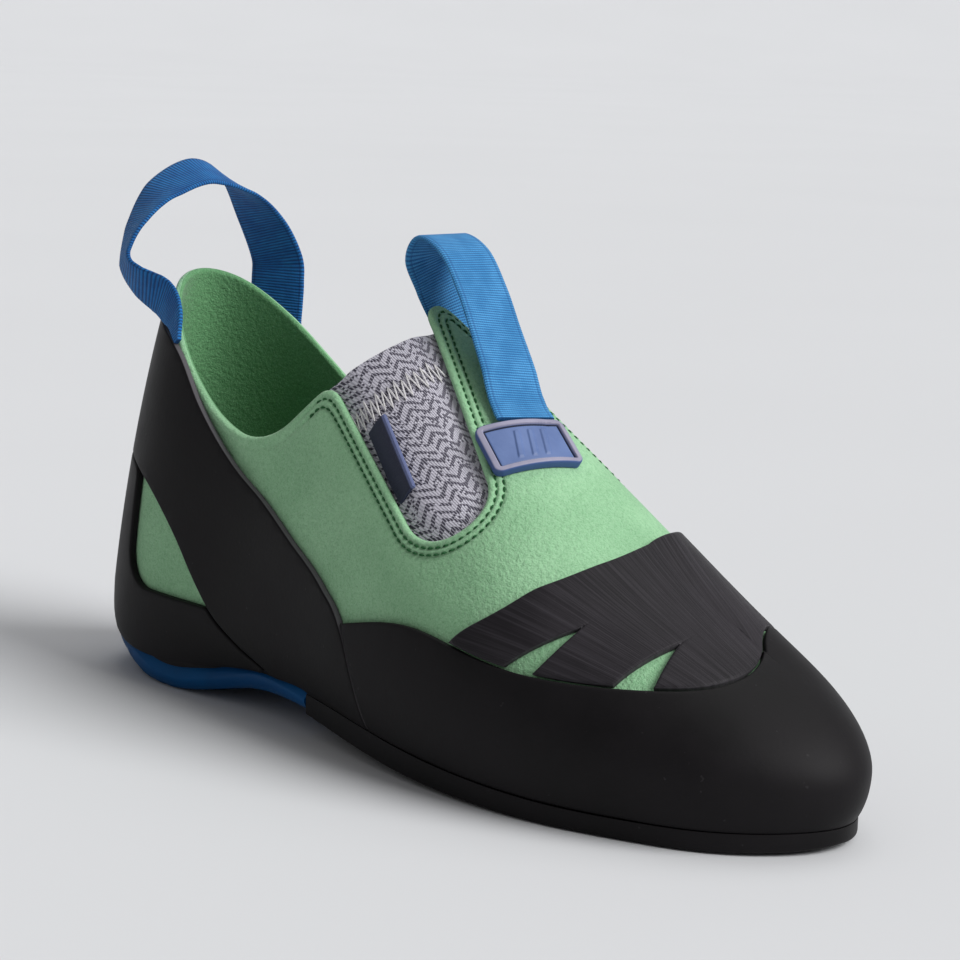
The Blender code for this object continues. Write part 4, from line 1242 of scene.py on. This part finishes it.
def heel_loop_stops():
    return [
        ((x * LENGTH, y * BALL_WIDTH, z * COLLAR_HEIGHT), across, share, rest)
        for (x, y, z), across, share, rest in HEEL_LOOP
    ]


def front_loop_stops(skin):
    along, across = (Vector(axis) for axis in badge_axes())
    middle = Vector(badge_middle())
    root = middle - along * BADGE_HALF[0] + across * FRONT_LOOP_SHIFT
    for _ in range(6):
        root = skin.find_nearest(root)[0]
        beyond = (root - middle).dot(along) + BADGE_HALF[0] + LOOP_CLEAR
        root = root - along * beyond
    return [(np.array(root) + np.array(away), *rest) for away, *rest in FRONT_LOOP]


# Materials


def ink(red, green, blue):
    """A colour given as the eye reads it on a screen, from 0 to 255."""
    found = []
    for value in (red, green, blue):
        value = value / 255.0
        found.append(value / 12.92 if value <= 0.04045 else ((value + 0.055) / 1.055) ** 2.4)
    return (*found, 1.0)


class Look:
    """A material and short ways to add its nodes."""

    def __init__(self, name, roughness):
        self.material = bpy.data.materials.new(name)
        self.material.use_nodes = True
        self.tree = self.material.node_tree
        self.shader = self.tree.nodes["Principled BSDF"]
        self.shader.inputs["Roughness"].default_value = roughness
        self.shader.inputs["Metallic"].default_value = 0.0
        self.height = None

    def node(self, kind, **settings):
        node = self.tree.nodes.new(kind)
        for key, value in settings.items():
            setattr(node, key, value)
        return node

    def link(self, value, socket):
        if hasattr(value, "is_output"):
            self.tree.links.new(value, socket)
        else:
            socket.default_value = value

    def place(self):
        """Positions on the object, in metres."""
        return self.node("ShaderNodeTexCoord").outputs["Object"]

    def strand(self, along, across):
        """A place whose detail runs fore and aft over the toe."""
        apart = self.node("ShaderNodeSeparateXYZ")
        self.link(self.place(), apart.inputs[0])
        strand = self.times(self.value("strand"), across)
        return self.joined(self.times(apart.outputs[0], along), strand)

    def joined(self, x, y):
        node = self.node("ShaderNodeCombineXYZ")
        self.link(x, node.inputs[0])
        self.link(y, node.inputs[1])
        return node.outputs[0]

    def value(self, name):
        return self.node("ShaderNodeAttribute", attribute_name=name).outputs["Fac"]

    def noise(self, scale, detail=3.0, where=None, rough=0.55):
        noise = self.node("ShaderNodeTexNoise")
        self.link(self.place() if where is None else where, noise.inputs["Vector"])
        noise.inputs["Scale"].default_value = scale
        noise.inputs["Detail"].default_value = detail
        noise.inputs["Roughness"].default_value = rough
        return noise.outputs["Fac"]

    def math(self, operation, a, b=0.0):
        node = self.node("ShaderNodeMath", operation=operation)
        self.link(a, node.inputs[0])
        self.link(b, node.inputs[1])
        return node.outputs[0]

    def times(self, a, b):
        return self.math("MULTIPLY", a, b)

    def wave(self, value, per_unit=1.0):
        """Up and down between 0 and 0.5, once to each unit."""
        return self.math("PINGPONG", self.times(value, per_unit), 0.5)

    def spread(self, value, low, high, to_low=0.0, to_high=1.0):
        node = self.node("ShaderNodeMapRange", interpolation_type="SMOOTHSTEP")
        settings = (value, low, high, to_low, to_high)
        names = ("Value", "From Min", "From Max", "To Min", "To Max")
        for name, setting in zip(names, settings):
            self.link(setting, node.inputs[name])
        return node.outputs["Result"]

    def mix(self, share, first, second):
        node = self.node("ShaderNodeMix", data_type="RGBA")
        self.link(share, node.inputs[0])
        self.link(first, node.inputs[6])
        self.link(second, node.inputs[7])
        return node.outputs[2]

    def colour(self, value):
        self.link(value, self.shader.inputs["Base Color"])

    def gloss(self, level):
        self.shader.inputs["Specular IOR Level"].default_value = level

    def bump(self, height, distance, strength=1.0):
        node = self.node("ShaderNodeBump")
        node.inputs["Strength"].default_value = strength
        node.inputs["Distance"].default_value = distance
        self.link(height, node.inputs["Height"])
        if self.height is not None:
            self.link(self.height, node.inputs["Normal"])
        self.height = node.outputs["Normal"]
        self.link(self.height, self.shader.inputs["Normal"])

    def sheen(self, weight, roughness, tint):
        self.shader.inputs["Sheen Weight"].default_value = weight
        self.shader.inputs["Sheen Roughness"].default_value = roughness
        self.shader.inputs["Sheen Tint"].default_value = tint


def suede_look():
    look = Look("suede", 0.92)
    grain = look.noise(2300.0, 2.0, rough=0.7)
    nap = look.noise(820.0, 3.0)
    patches = look.noise(34.0, 3.0)
    base = look.mix(look.spread(patches, 0.35, 0.68), ink(139, 187, 144), ink(154, 201, 158))
    base = look.mix(look.spread(nap, 0.35, 0.65, 0.0, 0.25), base, ink(110, 160, 116))
    base = look.mix(look.spread(grain, 0.44, 0.62, 0.0, 0.35), base, ink(162, 200, 164))
    base = look.mix(look.spread(grain, 0.46, 0.33, 0.0, 0.30), base, ink(86, 134, 94))
    # The inner face of the suede gets darker greens: painted shade inside the shoe.
    inside = look.mix(look.spread(grain, 0.30, 0.70), ink(88, 140, 94), ink(112, 162, 116))
    look.colour(look.mix(look.value("inside"), base, inside))
    look.sheen(0.26, 0.42, ink(232, 240, 230))
    look.gloss(0.14)
    look.bump(grain, 0.00024, 0.8)
    look.bump(nap, 0.00055, 0.9)
    return look.material


def rubber_look(name, colour, worn, rim=0.0, brushed=False):
    look = Look(name, 0.5)
    cloud = look.noise(26.0, 4.0)
    fine = look.noise(900.0, 2.0)
    specks = look.noise(620.0, 1.0)
    base = look.mix(look.spread(cloud, 0.35, 0.70), colour, worn)
    base = look.mix(look.spread(specks, 0.76, 0.80, 0.0, 0.14), base, ink(84, 82, 84))
    # Near the cut edge the colour turns a lighter grey, as strong as `rim` says: a painted highlight along
    # the rounded rim.
    if rim:
        edge = look.value("edge")
        base = look.mix(look.spread(edge, 0.02, 0.18, rim, 0.0), base, ink(112, 110, 114))
    if brushed:
        lines = look.noise(1.0, 3.0, look.strand(24.0, 2.60), 0.7)
        wide = look.noise(1.0, 2.0, look.strand(12.0, 0.60), 0.6)
        base = look.mix(look.spread(lines, 0.42, 0.66, 0.0, 0.50), base, ink(66, 63, 68))
        base = look.mix(look.spread(wide, 0.40, 0.66, 0.0, 0.35), base, ink(22, 20, 23))
        look.bump(lines, 0.00016, 0.7)
    look.colour(base)
    look.link(look.spread(cloud, 0.3, 0.7, 0.46, 0.58), look.shader.inputs["Roughness"])
    look.gloss(0.13)
    look.bump(fine, 0.00006, 0.5)
    look.bump(look.noise(60.0, 2.0), 0.0006, 0.18)
    return look.material


def knit_look():
    look = Look("knit", 0.85)
    wale = look.value("wale")
    course = look.value("course")
    # Chevrons: the course bends up and down across the wales
    zig = look.math("PINGPONG", look.times(wale, 0.46), 1.0)
    bent = look.math("ADD", look.times(course, 0.330), look.times(zig, 1.05))
    band = look.math("FRACT", bent)
    dark_band = look.times(look.spread(band, 0.04, 0.16), look.spread(band, 0.56, 0.44))
    # Loops of yarn, every other column half a loop higher
    loop_x = look.times(wale, 2.6)
    cell_x = look.math("FLOOR", loop_x)
    shift = look.math("FRACT", look.times(cell_x, 0.5))
    stagger = look.math("ADD", look.times(course, 1.50), shift)
    chance = look.node("ShaderNodeTexWhiteNoise", noise_dimensions="2D")
    look.link(look.joined(cell_x, look.math("FLOOR", stagger)), chance.inputs["Vector"])
    pick = look.math("ADD", look.times(dark_band, 0.80), 0.10)
    dark = look.math("LESS_THAN", chance.outputs["Value"], pick)
    across = look.wave(look.math("FRACT", loop_x))
    along = look.wave(look.math("FRACT", stagger))
    height = look.times(look.spread(across, 0.02, 0.34), look.spread(along, 0.0, 0.16, 0.45, 1.0))
    yarn = look.noise(1400.0, 2.0)
    light = look.mix(yarn, ink(236, 233, 243), ink(206, 203, 217))
    shade = look.mix(yarn, ink(84, 80, 96), ink(60, 57, 70))
    stroke = look.times(dark, look.spread(across, 0.08, 0.26))
    # The light yarn turns grey where the loops are low: painted shade in the hollows between them.
    colour = look.mix(look.spread(height, 0.10, 0.55, 0.55, 0.0), light, ink(150, 146, 162))
    colour = look.mix(stroke, colour, shade)
    look.colour(colour)
    look.sheen(0.25, 0.4, ink(230, 230, 240))
    look.gloss(0.15)
    look.bump(height, 0.00035, 0.9)
    return look.material


def webbing_look(name, ribs_per_mm, weave, low, high, shade):
    look = Look(name, 0.72)
    across = look.value("across")
    rib = look.spread(look.wave(look.value("along"), ribs_per_mm), 0.05, 0.42)
    cross = look.spread(look.wave(across, weave), 0.05, 0.40)
    height = look.math("ADD", look.times(rib, 0.75), look.times(cross, 0.25))
    wear = look.noise(160.0, 3.0)
    base = look.mix(look.spread(wear, 0.3, 0.7), low, high)
    base = look.mix(look.spread(height, 0.15, 0.75, 0.75, 0.0), base, shade)
    edge = look.math("ABSOLUTE", across)
    line = look.times(look.spread(edge, 6.9, 7.1), look.spread(edge, 7.5, 7.3))
    base = look.mix(look.times(line, 0.55), base, shade)
    look.colour(base)
    look.sheen(0.12, 0.4, ink(170, 210, 240))
    look.gloss(0.30)
    look.bump(height, 0.00022, 0.9)
    look.bump(look.noise(2600.0, 1.0), 0.00008, 0.4)
    return look.material


def badge_look():
    look = Look("badge_rubber", 0.48)
    edge = look.value("edge")
    cloud = look.noise(120.0, 3.0)
    field = look.mix(look.spread(cloud, 0.3, 0.7), ink(80, 102, 150), ink(92, 114, 162))
    rim = look.mix(look.spread(cloud, 0.3, 0.7), ink(132, 130, 152), ink(148, 145, 166))
    colour = look.mix(look.spread(edge, 1.55, 1.75), rim, field)
    line = look.times(look.spread(edge, 1.60, 1.75), look.spread(edge, 2.05, 1.90))
    colour = look.mix(line, colour, ink(30, 34, 52))
    colour = look.mix(look.spread(edge, 0.45, 0.15), colour, ink(58, 82, 136))
    look.colour(colour)
    look.gloss(0.45)
    look.bump(look.noise(1100.0, 2.0), 0.00005, 0.5)
    return look.material


def label_look():
    look = Look("label_cloth", 0.7)
    across = look.value("across")
    ways = [look.spread(look.wave(way, 2.6), 0.1, 0.4) for way in (look.value("along"), across)]
    weave = look.math("ADD", *ways)
    colour = look.mix(look.spread(weave, 0.2, 1.6), ink(18, 22, 40), ink(34, 40, 66))
    fold = look.mix(look.spread(across, 2.15, 2.45), colour, ink(92, 102, 142))
    look.colour(fold)
    look.sheen(0.15, 0.4, ink(120, 130, 170))
    look.bump(weave, 0.00010, 0.8)
    return look.material


def plain_look(name, first, second, scale, roughness, depth):
    look = Look(name, roughness)
    grain = look.noise(scale, 3.0)
    look.colour(look.mix(look.spread(grain, 0.35, 0.65), first, second))
    look.gloss(0.25)
    look.bump(grain, depth, 0.7)
    return look.material


# Floor, light and camera


def build_stage():
    """A pale floor that curves up behind the shoe."""
    look = Look("backdrop", 0.95)
    look.gloss(0.05)
    tone = look.noise(3.0, 1.0)
    look.colour(look.mix(tone, ink(209, 210, 212), ink(212, 213, 215)))
    direction = Vector((-CAMERA_BACK.x, -CAMERA_BACK.y)).normalized()
    side = Vector((-direction.y, direction.x))
    profile = [(-STAGE_HALF, 0.0), (STAGE_FLAT, 0.0)]
    for step in range(1, 25):
        angle = math.pi / 2 * step / 24
        level = STAGE_RADIUS - STAGE_RADIUS * math.cos(angle)
        profile.append((STAGE_FLAT + STAGE_RADIUS * math.sin(angle), level))
    profile.append((STAGE_HALF, 9.0))
    points, faces = [], []
    for away, level in profile:
        for width in (-STAGE_HALF, STAGE_HALF):
            flat = direction * away + side * width
            points.append((flat.x, flat.y, level - 0.0002))
    for i in range(len(profile) - 1):
        faces.append([2 * i, 2 * i + 1, 2 * i + 3, 2 * i + 2])
    floor = new_object("backdrop", points, faces, look.material)


AZIMUTH = math.radians(46.149)
ELEVATION = math.radians(10.172)
ROLL = math.radians(1.888)
LEVEL = math.cos(ELEVATION)
CAMERA_BACK = Vector((math.sin(AZIMUTH) * LEVEL, -math.cos(AZIMUTH) * LEVEL, math.sin(ELEVATION)))
CAMERA_PLACE = Vector((0.5977 - ORIGIN_X, -0.4479 - ORIGIN_Y, 0.1844))
FOCAL_PIXELS = 2600.0
FRAME_PIXELS = 960.0


def build_camera():
    right = Vector((math.cos(AZIMUTH), math.sin(AZIMUTH), 0.0))
    up = CAMERA_BACK.cross(right)
    level_right = right * math.cos(ROLL) + up * math.sin(ROLL)
    level_up = up * math.cos(ROLL) - right * math.sin(ROLL)
    data = bpy.data.cameras.new("camera")
    data.sensor_fit = "HORIZONTAL"
    data.sensor_width = 36.0
    data.lens = 36.0 * FOCAL_PIXELS / FRAME_PIXELS
    data.clip_end = 50.0
    camera = bpy.data.objects.new("camera", data)
    turn = Matrix((level_right, level_up, CAMERA_BACK)).transposed()
    camera.matrix_world = Matrix.Translation(CAMERA_PLACE) @ turn.to_4x4()
    bpy.context.scene.collection.objects.link(camera)
    bpy.context.scene.camera = camera


def build_light(name, source, power, spread):
    """Even light from a wide patch of the sky in the direction of `source`."""
    data = bpy.data.lights.new(name, "SUN")
    data.energy = power
    data.angle = math.radians(spread)
    light = bpy.data.objects.new(name, data)
    light.location = source
    light.rotation_euler = Vector(source).to_track_quat("Z", "Y").to_euler()
    bpy.context.scene.collection.objects.link(light)


def build_world(strength):
    world = bpy.data.worlds.new("studio")
    bpy.context.scene.world = world
    world.use_nodes = True
    background = world.node_tree.nodes["Background"]
    background.inputs["Color"].default_value = (0.985, 0.985, 1.0, 1.0)
    background.inputs["Strength"].default_value = strength


def main():
    for obj in list(bpy.data.objects):
        bpy.data.objects.remove(obj)
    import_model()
    bpy.context.scene.view_settings.view_transform = "Standard"

    suede = suede_look()
    knit = knit_look()
    rubber = rubber_look("rubber", ink(14, 13, 14), ink(24, 22, 24))
    # The strap's and the toe patch's rubber carry a painted highlight along their cut edges.
    edge_highlight_rubber = rubber_look("rubber_with_painted_edge_highlight", ink(14, 13, 14), ink(24, 22, 24), rim=0.5)
    brushed = rubber_look("brushed_rubber", ink(30, 28, 31), ink(44, 41, 45), rim=0.3, brushed=True)
    blue_rubber = rubber_look("blue_rubber", ink(0, 66, 116), ink(0, 80, 134))
    board = plain_look("insole_board", ink(74, 84, 70), ink(94, 104, 88), 700.0, 0.9, 0.0002)
    heel_webbing = webbing_look(
        "heel_webbing", 1.20, 2.2, ink(14, 94, 162), ink(28, 116, 184), ink(2, 40, 90)
    )
    front_webbing = webbing_look(
        "front_webbing", 1.45, 1.45, ink(54, 132, 188), ink(74, 152, 208), ink(20, 78, 136)
    )
    moulded = badge_look()
    cloth = label_look()
    green_thread = plain_look("green_thread", ink(26, 74, 38), ink(40, 98, 54), 2200.0, 0.7, 0.0001)
    white_thread = plain_look(
        "white_thread", ink(236, 234, 232), ink(205, 203, 206), 2600.0, 0.6, 0.0001
    )

    last = last_surface()
    skin = BVHTree.FromPolygons([Vector(p) for p in last.points], last.faces)
    upper, upper_sheet = upper_piece(last, suede)
    tongue = tongue_piece(last, knit)
    made = (
        (upper, "suede", "upper"),
        (upper_stitches(upper_sheet, green_thread), "suede", None),
        (tongue, "knit", "tongue"),
        (zigzag_piece(last, white_thread), "knit", None),
        (strap_piece(last, edge_highlight_rubber), "rubber", "strap"),
        (heel_cup_piece(last, rubber), "rubber", "heel_cup"),
        (rand_piece(last, rubber), "rubber", "rand"),
        (patch_piece(last, brushed), "rubber", "toe_patch"),
        (outsole_piece(rubber), "rubber", "outsole"),
        (heel_sole_piece(last, blue_rubber), "blue_rubber", "heel_sole"),
        (insole_piece(last, board), "insole_board", "insole"),
        (badge_piece(last, moulded), "badge_rubber", "badge"),
        (label_piece(last, cloth), "label_cloth", "label"),
        (
            ribbon("heel_loop_webbing", heel_loop_stops(), HEEL_LOOP_WIDTH, skin, heel_webbing),
            "webbing",
            "heel_loop",
        ),
        (
            ribbon("front_loop_webbing", front_loop_stops(skin), FRONT_LOOP_WIDTH, skin, front_webbing),
            "webbing",
            "front_loop",
        ),
    )
    for piece, slot, node in made:
        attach(piece, "root")
        if node is not None:
            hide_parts(node)

    build_stage()
    build_camera()
    build_world(0.25)
    build_light("key", (1.15, 0.42, 1.0), 3.05, 36.0)
    build_light("top", (-0.1, 0.55, 1.5), 0.72, 50.0)


main()
